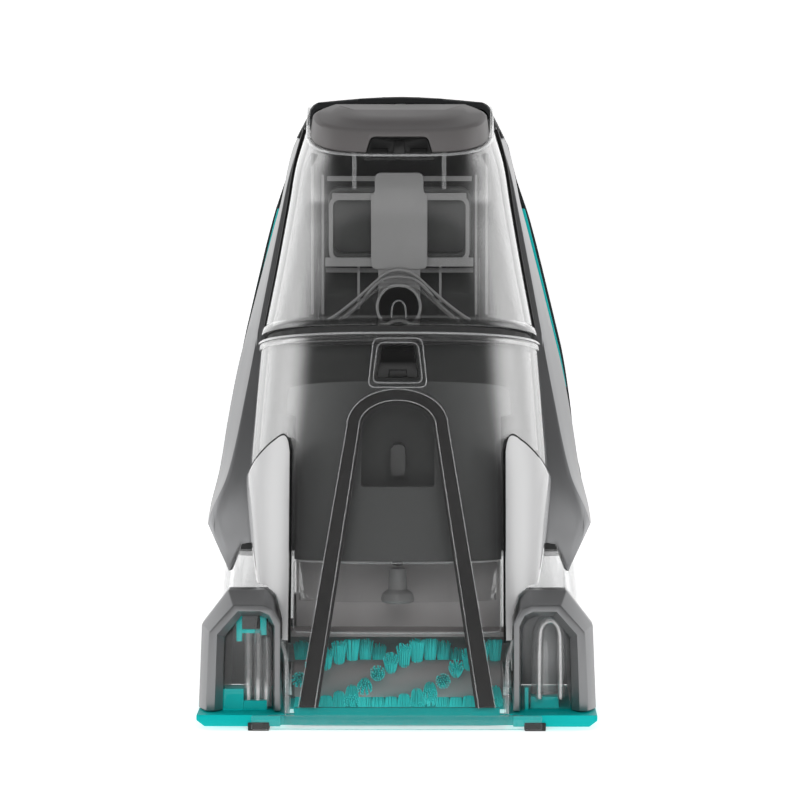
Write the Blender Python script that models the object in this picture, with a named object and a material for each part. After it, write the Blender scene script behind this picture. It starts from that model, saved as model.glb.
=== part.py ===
"""Handheld cordless carpet spot cleaner with a powered brush.

The machine stands on its nozzle base and on its clean-water tank, +Z up, with its front towards -Y.
The frame's origin is at the bottom, in the middle of the machine's length and width.
Everything is drawn in millimetres and scaled to metres at the end. V is the distance behind the front lip.
"""

import math

import bmesh
import bpy
from mathutils import Matrix, Vector

# ---------------------------------------------------------------- driving dimensions, mm
LENGTH = 346.0  # lip to the back of the handle
GAP = 0.4  # gap between neighbouring pieces
WALL = 2.0  # wall of the clear parts
SHELL_WALL = 2.4  # wall of the opaque housings

SEAM_Z = 131.0  # joint between the recovery tank and the duct cover, at the rear of the column
TANK_TOP = 210.0  # rear of the recovery tank's rim
LID_HEIGHT = 8.0

DUCT_DEPTH = 9.4  # from the duct cover's wall to the duct's back wall

BRUSH_V, BRUSH_Z = 30.0, 14.8  # brush axis
BRUSH_RADIUS = 14.0  # over the bristle tips
CORE_RADIUS = 6.6
SHROUD_RADIUS = 18.4  # outside of the shroud over the brush
AXLE_RADIUS = 2.9
BRUSH_HALF = 37.0
BRUSH_ROWS, BRUSH_LEAD, TUFT_PITCH = 3, 76.5, 4.6
BRUSH_START = -10.2  # where a row of bristles faces straight forward
MOTOR_V, MOTOR_Z = 69.0, 30.0  # brush motor axis
BRUSH_PULLEY_R, MOTOR_PULLEY_R = 7.0, 3.5
BELT_X = -49.0

BASE_HALF = 70.0  # half width of the nozzle base
BASE_LOW, BASE_HIGH, BASE_BACK = 1.5, 5.5, 82.0
SHOULDER_IN = 40.8  # inner side of the nozzle's shoulders
DECK_Z = 55.2  # underside of the deck that carries the works
FAN_V, FAN_Z, FAN_RADIUS, FAN_BLADES = 120.0, 100.0, 30.0, 7
TANK_FRONT, TANK_REAR, TANK_LOW, TANK_HIGH = 88.0, 336.0, 1.4, 54.0
CAP_Z = 36.0  # fill cap on the back of the clean-water tank
TRIGGER_V, TRIGGER_Z = 184.0, 187.0  # spray trigger's hinge
BUTTON_V = 146.0  # power button


# ---------------------------------------------------------------- helpers
def through(*knots):
    """A smooth function through (input, output) knots, flat beyond both ends, with no overshoot."""
    xs = [k[0] for k in knots]
    ys = [k[1] for k in knots]
    steps = [(ys[i + 1] - ys[i]) / (xs[i + 1] - xs[i]) for i in range(len(xs) - 1)]
    slopes = [steps[0]]
    for a, b in zip(steps, steps[1:]):
        slopes.append(0.0 if a * b <= 0 else 2 * a * b / (a + b))
    slopes.append(steps[-1])

    def value(x):
        if x <= xs[0]:
            return ys[0]
        if x >= xs[-1]:
            return ys[-1]
        i = max(k for k in range(len(xs) - 1) if xs[k] <= x)
        h = xs[i + 1] - xs[i]
        t = (x - xs[i]) / h
        rise = ys[i] * (1 + 2 * t) * (1 - t) ** 2 + ys[i + 1] * t * t * (3 - 2 * t)
        return rise + h * (slopes[i] * t * (1 - t) ** 2 - slopes[i + 1] * t * t * (1 - t))

    return value


def spread(low, high, count):
    return [low + (high - low) * i / (count - 1) for i in range(count)]


def place(x, v, z):
    """A design point in the frame, whose origin is half the length behind the lip."""
    return Vector((x, v - LENGTH / 2, z))


MATERIALS = {}


def material(name, colour, roughness, metallic=0.0, alpha=1.0):
    made = bpy.data.materials.new(name)
    made.use_nodes = True
    shader = made.node_tree.nodes["Principled BSDF"]
    shader.inputs["Base Color"].default_value = (*colour, 1.0)
    shader.inputs["Roughness"].default_value = roughness
    shader.inputs["Metallic"].default_value = metallic
    shader.inputs["Alpha"].default_value = alpha
    made.diffuse_color = (*colour, alpha)
    MATERIALS[name] = made


def make_object(name, points, faces, look, sharp=35):
    """A closed mesh object from design points. Its faces are turned to point outwards."""
    mesh = bpy.data.meshes.new(name)
    mesh.from_pydata([place(*p) for p in points], [], faces)
    work = bmesh.new()
    work.from_mesh(mesh)
    bmesh.ops.recalc_face_normals(work, faces=work.faces)
    work.to_mesh(mesh)
    work.free()
    mesh.materials.append(MATERIALS[look])
    mesh.shade_smooth()
    mesh.set_sharp_from_angle(angle=math.radians(sharp))
    obj = bpy.data.objects.new(name, mesh)
    bpy.context.scene.collection.objects.link(obj)
    return obj


def sheet(name, outer, inner, look):
    """A wall of real thickness between two grids of points with the same rows and columns."""
    rows, cols = len(outer), len(outer[0])
    points = [p for row in outer for p in row] + [p for row in inner for p in row]
    half = rows * cols

    def at(i, j, side):
        return side * half + i * cols + j

    faces = []
    for i in range(rows - 1):
        for j in range(cols - 1):
            for side in (0, 1):
                corners = ((i, j), (i + 1, j), (i + 1, j + 1), (i, j + 1))
                faces.append([at(a, b, side) for a, b in corners])
    for j in range(cols - 1):
        for i in (0, rows - 1):
            faces.append((at(i, j, 0), at(i, j + 1, 0), at(i, j + 1, 1), at(i, j, 1)))
    for i in range(rows - 1):
        for j in (0, cols - 1):
            faces.append((at(i, j, 0), at(i + 1, j, 0), at(i + 1, j, 1), at(i, j, 1)))
    return make_object(name, points, faces, look)


def loft(name, rings, look):
    """A solid through closed rings with the same number of points, capped at both ends."""
    count = len(rings[0])
    points = [p for ring in rings for p in ring]
    last = (len(rings) - 1) * count
    faces = [tuple(range(count)), tuple(range(last, last + count))]
    for i in range(len(rings) - 1):
        for j in range(count):
            k = (j + 1) % count
            low, high = i * count, (i + 1) * count
            faces.append((low + j, low + k, high + k, high + j))
    return make_object(name, points, faces, look)


ORDERS = {
    "x": lambda a, b, h: (h, a, b),
    "v": lambda a, b, h: (a, h, b),
    "z": lambda a, b, h: (a, b, h),
}


def prism(name, outline, axis, low, high, look="charcoal"):
    """An outline pushed along an axis: x takes (v, z) points, v takes (x, z) and z takes (x, v)."""
    order = ORDERS[axis]
    return loft(name, [[order(a, b, h) for a, b in outline] for h in (low, high)], look)


def box(name, lows, highs, look="charcoal"):
    (x0, v0, z0), (x1, v1, z1) = lows, highs
    return prism(name, [(x0, v0), (x1, v0), (x1, v1), (x0, v1)], "z", z0, z1, look)


def circle(radius, count=16, centre=(0.0, 0.0)):
    turn = 2 * math.pi / count
    return [
        (centre[0] + radius * math.cos(turn * i), centre[1] + radius * math.sin(turn * i))
        for i in range(count)
    ]


def rod(name, axis, centre, radius, low, high, look="charcoal", count=16):
    return prism(name, circle(radius, count, centre), axis, low, high, look)


def turned(name, axis, centre, profile, look="charcoal", count=16):
    """A round solid about an axis: profile lists (position along the axis, radius)."""
    order = ORDERS[axis]
    rings = [[order(a, b, h) for a, b in circle(r, count, centre)] for h, r in profile]
    return loft(name, rings, look)


def rounded(half_a, half_b, radius, centre=(0.0, 0.0), steps=2):
    """A rectangle outline with round corners."""
    points = []
    for sa, sb, start in ((1, 1, 0), (-1, 1, 90), (-1, -1, 180), (1, -1, 270)):
        for k in range(steps + 1):
            turn = math.radians(start + 90 * k / steps)
            a = centre[0] + sa * (half_a - radius) + radius * math.cos(turn)
            b = centre[1] + sb * (half_b - radius) + radius * math.sin(turn)
            points.append((a, b))
    return points


def flipped(side, outline):
    """A front-view outline for the right-hand side, or its mirror image for side -1."""
    return [(side * a, b) for a, b in outline]


def combine(obj, other, operation):
    """Joins, cuts or intersects obj with other, whose object is used up."""
    step = obj.modifiers.new(operation, "BOOLEAN")
    step.operation = operation
    step.solver = "EXACT"
    step.object = other
    graph = bpy.context.evaluated_depsgraph_get()
    made = bpy.data.meshes.new_from_object(obj.evaluated_get(graph))
    obj.modifiers.clear()
    old, obj.data = obj.data, made
    bpy.data.meshes.remove(old)
    made.name = obj.name
    bpy.data.objects.remove(other)
    return obj


def cut(obj, *others):
    for other in others:
        combine(obj, other, "DIFFERENCE")
    return obj


def join(obj, *others):
    for other in others:
        combine(obj, other, "UNION")
    return obj


def keep(obj, other):
    return combine(obj, other, "INTERSECT")


def gather(name, objects):
    """One object holding the meshes of several that don't touch each other."""
    whole = bmesh.new()
    for obj in objects:
        whole.from_mesh(obj.data)
    mesh = bpy.data.meshes.new(name)
    whole.to_mesh(mesh)
    whole.free()
    for obj in objects:
        bpy.data.objects.remove(obj)
    made = bpy.data.objects.new(name, mesh)
    bpy.context.scene.collection.objects.link(made)
    return made


# ---------------------------------------------------------------- the column: recovery tank over duct cover
FRONT_LEAN = through(
    (0, 0.0), (30, 4.6), (60, 12.6), (84, 20.5), (105, 28.3), (131, 39.0), (160, 52.0), (213, 79.0)
)
REAR_LEAN = through(
    (0, 4.8), (14, 8.0), (30, 17.0), (45, 36.0), (60, 54.0), (84, 72.0), (105, 82.0), (131, 90.0),
    (160, 102.0), (213, 124.0),
)
COVER_HALF = through(
    (0, 39.5), (24, 40.0), (36, 45.0), (42, 47.5), (57, 50.9), (70, 52.8), (84, 54.0), (102, 52.8),
    (131, 50.2),
)
TANK_HALF = through(
    (131, 49.8), (143, 47.5), (156, 45.1), (180, 41.1), (195, 38.8), (205, 36.2), (214, 33.2)
)
TILT = through((0, 0.0), (30, 0.0), (105, 0.158), (131, 0.158), (170, 0.05), (210, -0.23), (220, -0.23))
COLUMN_POWER = 2.6  # squareness of the column's plan section
COVER_HEIGHTS = [2, 14, 26, 36, 46, 57, 70, 84, 105, 128]


def column_half(z):
    return COVER_HALF(z) if z < SEAM_Z else TANK_HALF(z)


def column_point(turn, z, inset=0.0):
    """A point of the column's skin. turn runs from 0 at the right rear edge over the front to pi."""
    rear = REAR_LEAN(z)
    deep = rear - FRONT_LEAN(z) - inset
    c, s = math.cos(turn), math.sin(turn)
    x = math.copysign((column_half(z) - inset) * abs(c) ** (2 / COLUMN_POWER), c)
    v = rear - deep * abs(s) ** (2 / COLUMN_POWER)
    return (x, v, z + (rear - v) * TILT(z))


def column_shell(name, heights, outer_inset, inner_inset, look, count=17):
    turns = spread(0.0, math.pi, count)
    grids = [
        [[column_point(t, z, inset) for t in turns] for z in heights]
        for inset in (outer_inset, inner_inset)
    ]
    return sheet(name, *grids, look)


# the right-hand cheek's upper edge and foot, seen from the front
CHEEK = [
    (38.8, 95.5), (39.6, 100.0), (44.1, 98.4), (47.7, 95.2), (51.5, 90.3), (54.1, 85.5), (60.0, 75.0)
]
CHEEK_FOOT = [(60.0, 48.8), (46.3, 48.8), (42.4, 45.8), (40.2, 38.2), (40.2, 31.0), (38.8, 31.0)]


LIP = [(0.0, 0.9), (2.6, 0.9), (2.6, 5.6), (0.6, 5.6), (0.0, 4.8)]  # section of the cover's lip, (v, z)
LIP_HALF = 50.6
BUTTON_LOW, BUTTON_HIGH = 121.4, 132.4  # tank release button, seen from the front


def button_outline(grow=0.0):
    """The release button is wider at its foot."""
    foot, head = 7.4 + grow, 5.6 + grow
    low, high = BUTTON_LOW - grow, BUTTON_HIGH + grow
    return [(foot, low), (head, high), (-head, high), (-foot, low)]


def duct_cover():
    """Clear front wall of the suction duct, from its lip to the tank's seat."""
    cover = column_shell("duct_cover", COVER_HEIGHTS, 0.0, WALL, "smoke_clear")
    gap = [(a - GAP, b + 3.5 * GAP) for a, b in CHEEK]
    gap += [(60, 20), (40.2, 20), (40.2, 30.6), (38.8 - GAP, 30.6)]
    for side in (1, -1):
        cut(cover, prism("gap", flipped(side, gap), "v", -10, 130))
    cut(cover, prism("hole", button_outline(0.7), "v", -10, 60))
    return join(cover, prism("lip", LIP, "x", -LIP_HALF, LIP_HALF))


def cheek(side, name):
    """Grey cheek that stands a little proud of the clear cover."""
    heights = [29, 36, 46, 57, 70, 84, 92, 98, 104]
    skin = column_shell(name, heights, -1.2, WALL + 0.6, "silver")
    return keep(skin, prism("edge", flipped(side, CHEEK + CHEEK_FOOT), "v", -10, 130))


def arch_outline(width, top, foot):
    """A round-headed arch widening towards its foot, seen from the front."""
    points = [(foot, 8.0)]
    for turn in spread(0.0, math.pi, 9):
        points.append((width * math.cos(turn), 105.0 + (top - 105.0) * math.sin(turn)))
    return points + [(-foot, 8.0)]


def duct_gasket():
    """Dark moulded arch that seals the duct cover to the duct's back wall."""
    heights = [7, 30, 46, 57, 70, 84, 105, 124]
    seal = column_shell("duct_gasket", heights, WALL + GAP, WALL + DUCT_DEPTH - GAP, "dark_rubber")
    band = arch_outline(17.6, 117.5, 34.2) + arch_outline(12.6, 113.0, 27.4)[::-1]
    return keep(seal, prism("band", band, "v", -10, 80))


def duct_back():
    """Dark wall behind the duct, with the arched port that the air goes through."""
    depth = WALL + DUCT_DEPTH
    wall = column_shell("duct_back", [56, 70, 84, 98, 106, 113], depth, depth + 2, "charcoal")
    for side in (1, -1):
        cut(wall, box("trim", (36.8 * side, 0, 30), (60 * side, 120, 106)))
    arch = [(13 * math.cos(t), 99 + 12 * math.sin(t)) for t in spread(0, math.pi, 9)]
    return cut(wall, prism("port", [(13, 83)] + arch + [(-13, 83)], "v", -10, 90))


def spray_window():
    """Smoky panel above the brush, in front of the spray nozzle."""
    depth = WALL + DUCT_DEPTH
    pane = column_shell("spray_window", [43, 48, 55.4], depth + 0.5, depth + 2, "smoke_clear")
    return keep(pane, box("sides", (-35, -5, 20), (35, 60, 80)))


RELEASE_FRONT = FRONT_LEAN(120) - 0.5


def tank_release():
    """Button under the tank; its top slopes to clear the tank's rim."""
    front = RELEASE_FRONT
    body = prism("tank_release_button", button_outline(), "v", front, front + 10, "black")
    slope = prism("slope", [(front - 1, 126), (front - 1, 141), (front + 12, 141)], "x", -20, 20)
    return cut(body, slope)


# ---------------------------------------------------------------- recovery tank
def tank_ring(z, inset, count=17):
    """Closed ring of the tank's wall at height z, on the tilted plane of that height."""
    rear = REAR_LEAN(z)
    ring = [column_point(t, z, inset) for t in spread(0.0, math.pi, count)]
    flat = [(x, min(v, rear, rear - inset)) for x, v, _ in ring]
    return [(x, v, z + (rear - v) * TILT(z)) for x, v in flat]


def vessel(name, outside, inside, look):
    """An open-topped cup between rings listed from the bottom up."""
    count = len(outside[0])
    rings = outside + inside[::-1]
    points = [p for ring in rings for p in ring]
    last = (len(rings) - 1) * count
    faces = [tuple(range(count)), tuple(range(last, last + count))]
    for i in range(len(rings) - 1):
        for j in range(count):
            k = (j + 1) % count
            low, high = i * count, (i + 1) * count
            faces.append((low + j, low + k, high + k, high + j))
    return make_object(name, points, faces, look)


def recovery_tank():
    """Smoky clear tank with a flange round its foot."""
    rims = [(132.0, -0.7), (134.6, -0.7), (135.2, 0.0)]
    rims += [(z, 0.0) for z in (160, 185, 200, TANK_TOP)]
    outside = [tank_ring(z, inset) for z, inset in rims]
    inside = [tank_ring(z, WALL) for z in (134.6, 160, 185, 200, TANK_TOP)]
    tank = vessel("recovery_tank", outside, inside, "smoke_clear")
    return cut(tank, box("inlet", (-8, 78, 120), (8, 86, 150)))


def lid():
    """Grey lid with a sloping skirt and a finger notch in its front edge."""
    rings = [
        [(x, v, z + rise) for x, v, z in tank_ring(TANK_TOP, inset)]
        for rise, inset in ((GAP, 0.3), (2.0, 0.0), (LID_HEIGHT, 4.0))
    ]
    body = loft("tank_lid", rings, "warm_grey")
    notch = [(-11.5, 190), (-9.0, 206), (9.0, 206), (11.5, 190)]
    return cut(body, prism("notch", notch, "v", 70, 84))


def tank_parts():
    """What stands inside the recovery tank."""
    half_riser = [(6, 157), (10.2, 162), (10.2, 185), (8.8, 186), (8.8, 193)]
    riser = half_riser + [(-x, z) for x, z in half_riser[::-1]]
    duct = prism("riser_duct", riser, "v", 79.0, 86.6, "warm_grey")
    join(duct, box("stem", (-7.6, 79.6, 134.4), (7.6, 85.4, 160)))
    cut(duct, box("bore", (-6, 81, 120), (6, 84, 191)), box("outlet", (-6, 82, 187), (6, 95, 191)))
    cage = prism("float_cage", rounded(26, 13, 4, (0, 174.5)), "v", 87.2, 99.2, "charcoal")
    cut(cage, prism("room", rounded(24, 11, 3, (0, 174.5)), "v", 84, 97.4))
    turned("float", "v", (0, 170.4), [(88.4, 4), (90, 6.4), (94, 6.4), (95.6, 4)], "white")
    over = [(21, 141), (6.5, 154), (-6.5, 154), (-21, 141)]
    under = [(-19, 141), (-5.7, 152.2), (5.7, 152.2), (19, 141)]
    prism("baffle", over + under, "v", 60, 75, "smoke_clear")
    seal = loft("tank_gasket", [gasket_ring(z, 1.2) for z in (129.6, 131.6)], "dark_rubber")
    cut(seal, loft("inside", [gasket_ring(z, 4.2) for z in (120, 140)], "charcoal"))
    rim = [[(x, v, z + rise) for x, v, z in tank_ring(TANK_TOP, WALL + 1.0)] for rise in (-1.6, 0.1)]
    band = loft("lid_gasket", rim, "dark_rubber")
    hole = [[(x, v, z + rise) for x, v, z in tank_ring(TANK_TOP, WALL + 3.0)] for rise in (-9.0, 9.0)]
    cut(band, loft("inside", hole, "charcoal"))


def gasket_ring(z, inset):
    """The seal between tank and duct cover follows the tank's tilted rim."""
    ring = tank_ring(132.0, inset)
    return [(x, v, h + z - 132.0) for x, v, h in ring]


# ---------------------------------------------------------------- main body
SIDE = through(
    (50, 64.0), (65, 70.3), (69, 69.8), (84, 66.2), (101, 63.6), (120, 60.1), (132, 57.2),
    (173, 46.9), (181, 44.8), (195, 42.1), (202, 40.2), (210, 36.1), (219, 31.3),
)
CREASE = through(
    (50, 63.5), (65, 69.6), (68, 69.0), (83, 62.6), (112, 56.3), (131, 52.7), (147, 49.8), (176, 44.3),
    (193, 40.8), (219, 32.0),
)
REARWARD = through((180, 1.0), (260, 0.93), (310, 0.78), (338, 0.55), (347, 0.3))
ROOF = through(
    (126, 220.6), (150, 219.6), (164, 215.0), (173, 204.0), (180, 170.0), (190, 143.0), (215, 134.0),
    (270, 129.0), (310, 119.0), (336, 102.0), (347, 84.0),
)
# rear edge of the side shells, (v, z)
SHELL_REAR = [(216, 40), (205, 66), (172, 130), (142, 196), (138, 230)]


def body_half(v, z):
    """Half width of the rear body, a little outside the side shells."""
    return SIDE(z) * REARWARD(v) + 1.0


def plan_stations(z, inset):
    """Right-hand plan section of a side shell at height z, from the column's edge to the rear."""
    edge = column_half(z) + 0.7
    start = REAR_LEAN(z) + 0.7
    ridge, side = CREASE(z), SIDE(z)
    knee = start + 2.0 + 0.5 * (ridge - edge)
    turn = knee + 16.0
    return [
        (edge, start + inset),
        (edge + 0.62 * (ridge - edge), start + 0.62 * (knee - start) + inset),
        (ridge - 0.6 * inset, knee + inset),
        ((ridge + side) / 2 + 0.6 - 0.9 * inset, (knee + turn) / 2 + 0.4 * inset),
        (side - inset, turn),
        (side - inset, max(turn + 20, 150)),
        (side - inset, 190),
        (side - inset, 225),
    ]


SHELL_FLOOR = [60.5, 49.5, 65.5, 65.0, 63.0, 59.0, 57.0, 57.0]  # lower edge of the side shell, per station


def side_shell(side, name):
    """Grey side shell: a dark inner facet by the column, an outer facet, and the fang at its foot."""
    grids = []
    for inset in (0.0, SHELL_WALL):
        grid = []
        for share in (0.0, 0.06, 0.16, 0.3, 0.45, 0.6, 0.75, 0.88, 1.0):
            row = []
            for k, floor in enumerate(SHELL_FLOOR):
                z = floor + (204.0 - floor) * share
                a, v = plan_stations(max(z, 57.0), inset)[k]
                row.append((side * a, v, z))
            grid.append(row)
        grids.append(grid)
    shell = sheet(name, *grids, "silver")
    outline = [(40, 30)] + SHELL_REAR + [(40, 230)]
    return keep(shell, prism("edge", outline, "x", -90, 90))


def body_section(v, inset):
    """Half of the rear body's section at v, from the foot of the flank over the roof to the middle."""
    roof = ROOF(v) - inset
    low = 57.6
    knee = roof - 7.0
    points = [(body_half(v, z) - inset, z) for z in spread(low, knee, 6)]
    top = points[-1][0]
    points += [(top - 1.6, roof - 3.2), (top - 6.0, roof - 0.9), (0.45 * top, roof), (0.0, roof)]
    return points


def full_section(v, inset):
    half = body_section(v, inset)
    return [(x, v, z) for x, z in half] + [(-x, v, z) for x, z in half[-2::-1]]


HANDLE_PATH = [
    # v, z, turn of the section in degrees, half width, half thickness
    (158, 205, 0, 17, 11),
    (178, 203.5, 0, 15, 12),
    (205, 203, 0, 14, 13),
    (250, 204, 0, 14, 13.5),
    (290, 199, -18, 14, 13),
    (314, 184, -45, 14.5, 12),
    (327, 160, -68, 15, 11.5),
    (331, 132, -85, 16, 11.5),
    (328, 104, -95, 16, 12),
]


def handle_rings(grow=0.0, first=0, last=None, count=12):
    rings = []
    for v, z, lean, wide, thick in HANDLE_PATH[first:last]:
        turn = math.radians(lean)
        ring = []
        for a, b in circle(1.0, count):
            x = math.copysign(abs(a) ** 0.8, a) * (wide + grow)
            h = math.copysign(abs(b) ** 0.8, b) * (thick + grow)
            ring.append((x, v - h * math.sin(turn), z + h * math.cos(turn)))
        rings.append(ring)
    return rings


def rear_housing():
    """Black housing of motor and battery, with the top of the machine and the handle loop."""
    stations = [126.8, 150, 164, 173, 180, 190, 215, 270, 310, 336, 346]
    inner_stations = [120, 150, 164, 171, 178, 188, 213, 270, 310, 334, 343.4]
    body = loft("rear_housing", [full_section(v, 0.0) for v in stations], "black")
    hollow = [full_section(v, SHELL_WALL) for v in inner_stations]
    for ring in hollow:
        for end in (0, -1):
            ring[end] = (ring[end][0], ring[end][1], 50.0)
    cut(body, loft("hollow", hollow, "black"))
    front = [(100, 40)] + [(v + 4.0, z) for v, z in SHELL_REAR[:4]] + [(142, 205), (100, 205)]
    cut(body, prism("front", front, "x", -90, 90))
    join(body, loft("loop", handle_rings(), "black"))
    for side in (1, -1):
        for k in range(7):
            v = 232 + 7 * k
            slot = [(v, 80), (v + 3, 80), (v + 9, 104), (v + 6, 104)]
            cut(body, prism("vent", slot, "x", 40 * side, 80 * side))
    cut(body, rod("button_hole", "z", (0, BUTTON_V), 8.5, 190, 230))
    cut(body, rod("lamp_hole", "z", (0, 134), 2.4, 200, 230, count=10))
    cut(body, box("trigger_room", (-7.4, 178, 180), (7.4, 206, 198)))
    cut(body, box("port_hole", (-9.4, 338, 72), (9.4, 352, 86)))
    return body


def grip():
    """Soft overlay on top of the handle bar."""
    cover = loft("handle_grip", handle_rings(1.4, 2, 6), "dark_rubber")
    cut(cover, loft("core", handle_rings(0.35, 1, 7), "black"))
    under = [(200, 150), (200, 199), (250, 200), (286, 196), (312, 178), (320, 150)]
    return cut(cover, prism("under", under, "x", -30, 30))


def stripe(side, name):
    """Teal strip between the side shell and the rear housing."""
    heights = [131, 145, 160, 176]
    grids = []
    for inset in (0.0, SHELL_WALL):
        grids.append([[(side * (SIDE(z) + 0.8 - inset), v, z) for v in (130, 215)] for z in heights])
    strip = sheet(name, *grids, "teal")
    edge = SHELL_REAR[1:4]
    outline = [(v + 0.4, z) for v, z in edge] + [(v + 3.6, z) for v, z in edge[::-1]]
    return keep(strip, prism("band", outline, "x", -90, 90))


def bulkhead():
    """Dark wall behind the column."""
    grids = []
    for back in (0.7, 2.7):
        grid = []
        for z in (58, 70, 84, 105, 131, 150, 175, 200, 212):
            half = column_half(z) - 0.2
            grid.append([(x, REAR_LEAN(z) + back, z) for x in (-half, 0, half)])
        grids.append(grid)
    wall = sheet("bulkhead", *grids, "charcoal")
    return cut(wall, box("hose_hole", (8, 40, 60), (23, 80, 71)))


def deck():
    """Floor that carries the motor, pump and battery over the clean-water tank."""
    stations = [84, 110, 150, 215, 260, 300, 325, 341]
    right = [(min(body_half(v, 57) - 4.0, 64.0), v) for v in stations]
    plate = prism("deck", right + [(-x, v) for x, v in right[::-1]], "z", DECK_Z, DECK_Z + 2.0)
    return cut(plate, rod("valve_hole", "z", (0, 104), 6.0, 50, 60))


# ---------------------------------------------------------------- nozzle
# front views of the right-hand shoulder: its full section, its chamfered front face and its window
SHOULDER = [
    (SHOULDER_IN, 6.0), (70.0, 6.0), (68.8, 35.5), (59.4, 47.8), (46.5, 47.8), (43.0, 45.2),
    (SHOULDER_IN, 38.0),
]
SHOULDER_FACE = [
    (SHOULDER_IN, 6.0), (67.0, 6.0), (65.8, 33.8), (57.2, 43.4), (47.0, 43.4), (43.6, 42.0),
    (SHOULDER_IN, 37.0),
]
WINDOW = [
    (42.8, 5.0), (64.0, 5.0), (63.0, 33.0), (55.8, 41.2), (47.6, 41.2), (44.6, 39.8), (42.8, 36.0)
]


def shoulder(side, name):
    """Grey housing at one end of the brush, open at the front behind its window."""
    faces = ((9.0, SHOULDER_FACE), (18.0, SHOULDER), (BASE_BACK, SHOULDER))
    body = loft(name, [[(side * a, v, b) for a, b in line] for v, line in faces], "silver")
    cut(body, prism("room", flipped(side, WINDOW), "v", 0, BASE_BACK - 2.4))
    cut(body, rod("brush_hole", "x", (BRUSH_V, BRUSH_Z), 4.4, 30 * side, 44 * side))
    if side < 0:
        cut(body, rod("motor_hole", "x", (MOTOR_V, MOTOR_Z), 3.0, -44, -30, count=12))
    return body


def window(side, name):
    inner = [(a + (0.35 if a < 50 else -0.35), b + (1.2 if b < 20 else -0.35)) for a, b in WINDOW]
    return prism(name, flipped(side, inner), "v", 10.5, 12.3, "clear")


def base_plate():
    """Teal base around the brush mouth, with the crossbar behind the lip."""
    outline = [(-67.2, BASE_LOW), (67.2, BASE_LOW), (BASE_HALF, 3.6), (BASE_HALF, BASE_HIGH)]
    outline += [(-BASE_HALF, BASE_HIGH), (-BASE_HALF, 3.6)]
    plate = prism("base_plate", outline, "v", 3.0, BASE_BACK, "teal")
    mouth_back = BRUSH_V + SHROUD_RADIUS - 2.2
    cut(plate, box("mouth", (-38.6, 8.4, -1), (38.6, mouth_back, 10)))
    cut(plate, box("lip_room", (-40.6, -1, -1), (40.6, 6.4, 10)))
    join(plate, box("crossbar", (-36.0, 6.4, 2.0), (36.0, 8.8, 7.6)))
    join(plate, box("belt_block", (-61.6, 14, 5.0), (-54.0, 26, 13.0)))
    join(plate, box("belt_foot", (-55.0, 14, 5.0), (-45.8, 19.4, 8.8)))
    join(plate, box("valve_post", (44.8, 16, 5.0), (46.2, 20, 13.5)))
    return join(plate, box("valve_seat", (47, 22, 5.0), (57, 36, 9.4)))


def chamber():
    """Shroud over the brush, from above its front down to the base behind it."""
    grids = []
    for radius in (SHROUD_RADIUS, SHROUD_RADIUS - 2.0):
        arc = []
        for turn in spread(1.9, 0.0, 9):
            arc.append((BRUSH_V + radius * math.cos(turn), BRUSH_Z + radius * math.sin(turn)))
        arc.append((BRUSH_V + radius, 6.2))
        grids.append([[(x, v, z) for v, z in arc] for x in (-40.2, 40.2)])
    return sheet("brush_chamber", *grids, "charcoal")


def brush_roll():
    """Brush core with spiral rows of bristle bundles, and its two stub axles."""
    left_end = [(-53.0, AXLE_RADIUS), (-BRUSH_HALF, AXLE_RADIUS), (-BRUSH_HALF, CORE_RADIUS)]
    right_end = [(BRUSH_HALF, CORE_RADIUS), (BRUSH_HALF, AXLE_RADIUS), (43.5, AXLE_RADIUS)]
    core = turned("brush_roll", "x", (BRUSH_V, BRUSH_Z), left_end + right_end, "teal")
    tufts = []
    for row in range(BRUSH_ROWS):
        for x in [TUFT_PITCH * (k - 7.5) for k in range(16)]:
            angle = 2 * math.pi * ((x - BRUSH_START) / BRUSH_LEAD + row / BRUSH_ROWS)
            tufts.append(tuft(x, angle))
    return join(core, gather("tufts", tufts))


def tuft(x, angle):
    """A bundle of bristles standing on the core; angle is measured from the front, upwards."""
    out = Vector((0, -math.cos(angle), math.sin(angle)))
    across = Vector((0, math.sin(angle), math.cos(angle)))
    rings = []
    for far, radius in ((CORE_RADIUS - 1.5, 1.9), (BRUSH_RADIUS, 2.6)):
        ring = []
        for a, b in circle(radius, 6):
            p = Vector((x + a, BRUSH_V, BRUSH_Z)) + out * far + across * b
            ring.append(tuple(p))
        rings.append(ring)
    return loft("tuft", rings, "teal")


def tube(name, axis, centre, outer, inner, low, high, look, count=16):
    body = rod(name, axis, centre, outer, low, high, look, count)
    return cut(body, rod("bore", axis, centre, inner, low - 5, high + 5, count=count))


def belt_loop(grow):
    """Outline in (v, z) of a belt round both pulleys."""
    reach = math.hypot(MOTOR_V - BRUSH_V, MOTOR_Z - BRUSH_Z)
    lean = math.atan2(MOTOR_Z - BRUSH_Z, MOTOR_V - BRUSH_V)
    spread_angle = math.acos((BRUSH_PULLEY_R - MOTOR_PULLEY_R) / reach)
    points = []
    for k in range(13):
        turn = lean + spread_angle + (2 * math.pi - 2 * spread_angle) * k / 12
        radius = BRUSH_PULLEY_R + grow
        points.append((BRUSH_V + radius * math.cos(turn), BRUSH_Z + radius * math.sin(turn)))
    for k in range(7):
        turn = lean - spread_angle + 2 * spread_angle * k / 6
        radius = MOTOR_PULLEY_R + grow
        points.append((MOTOR_V + radius * math.cos(turn), MOTOR_Z + radius * math.sin(turn)))
    return points


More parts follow.
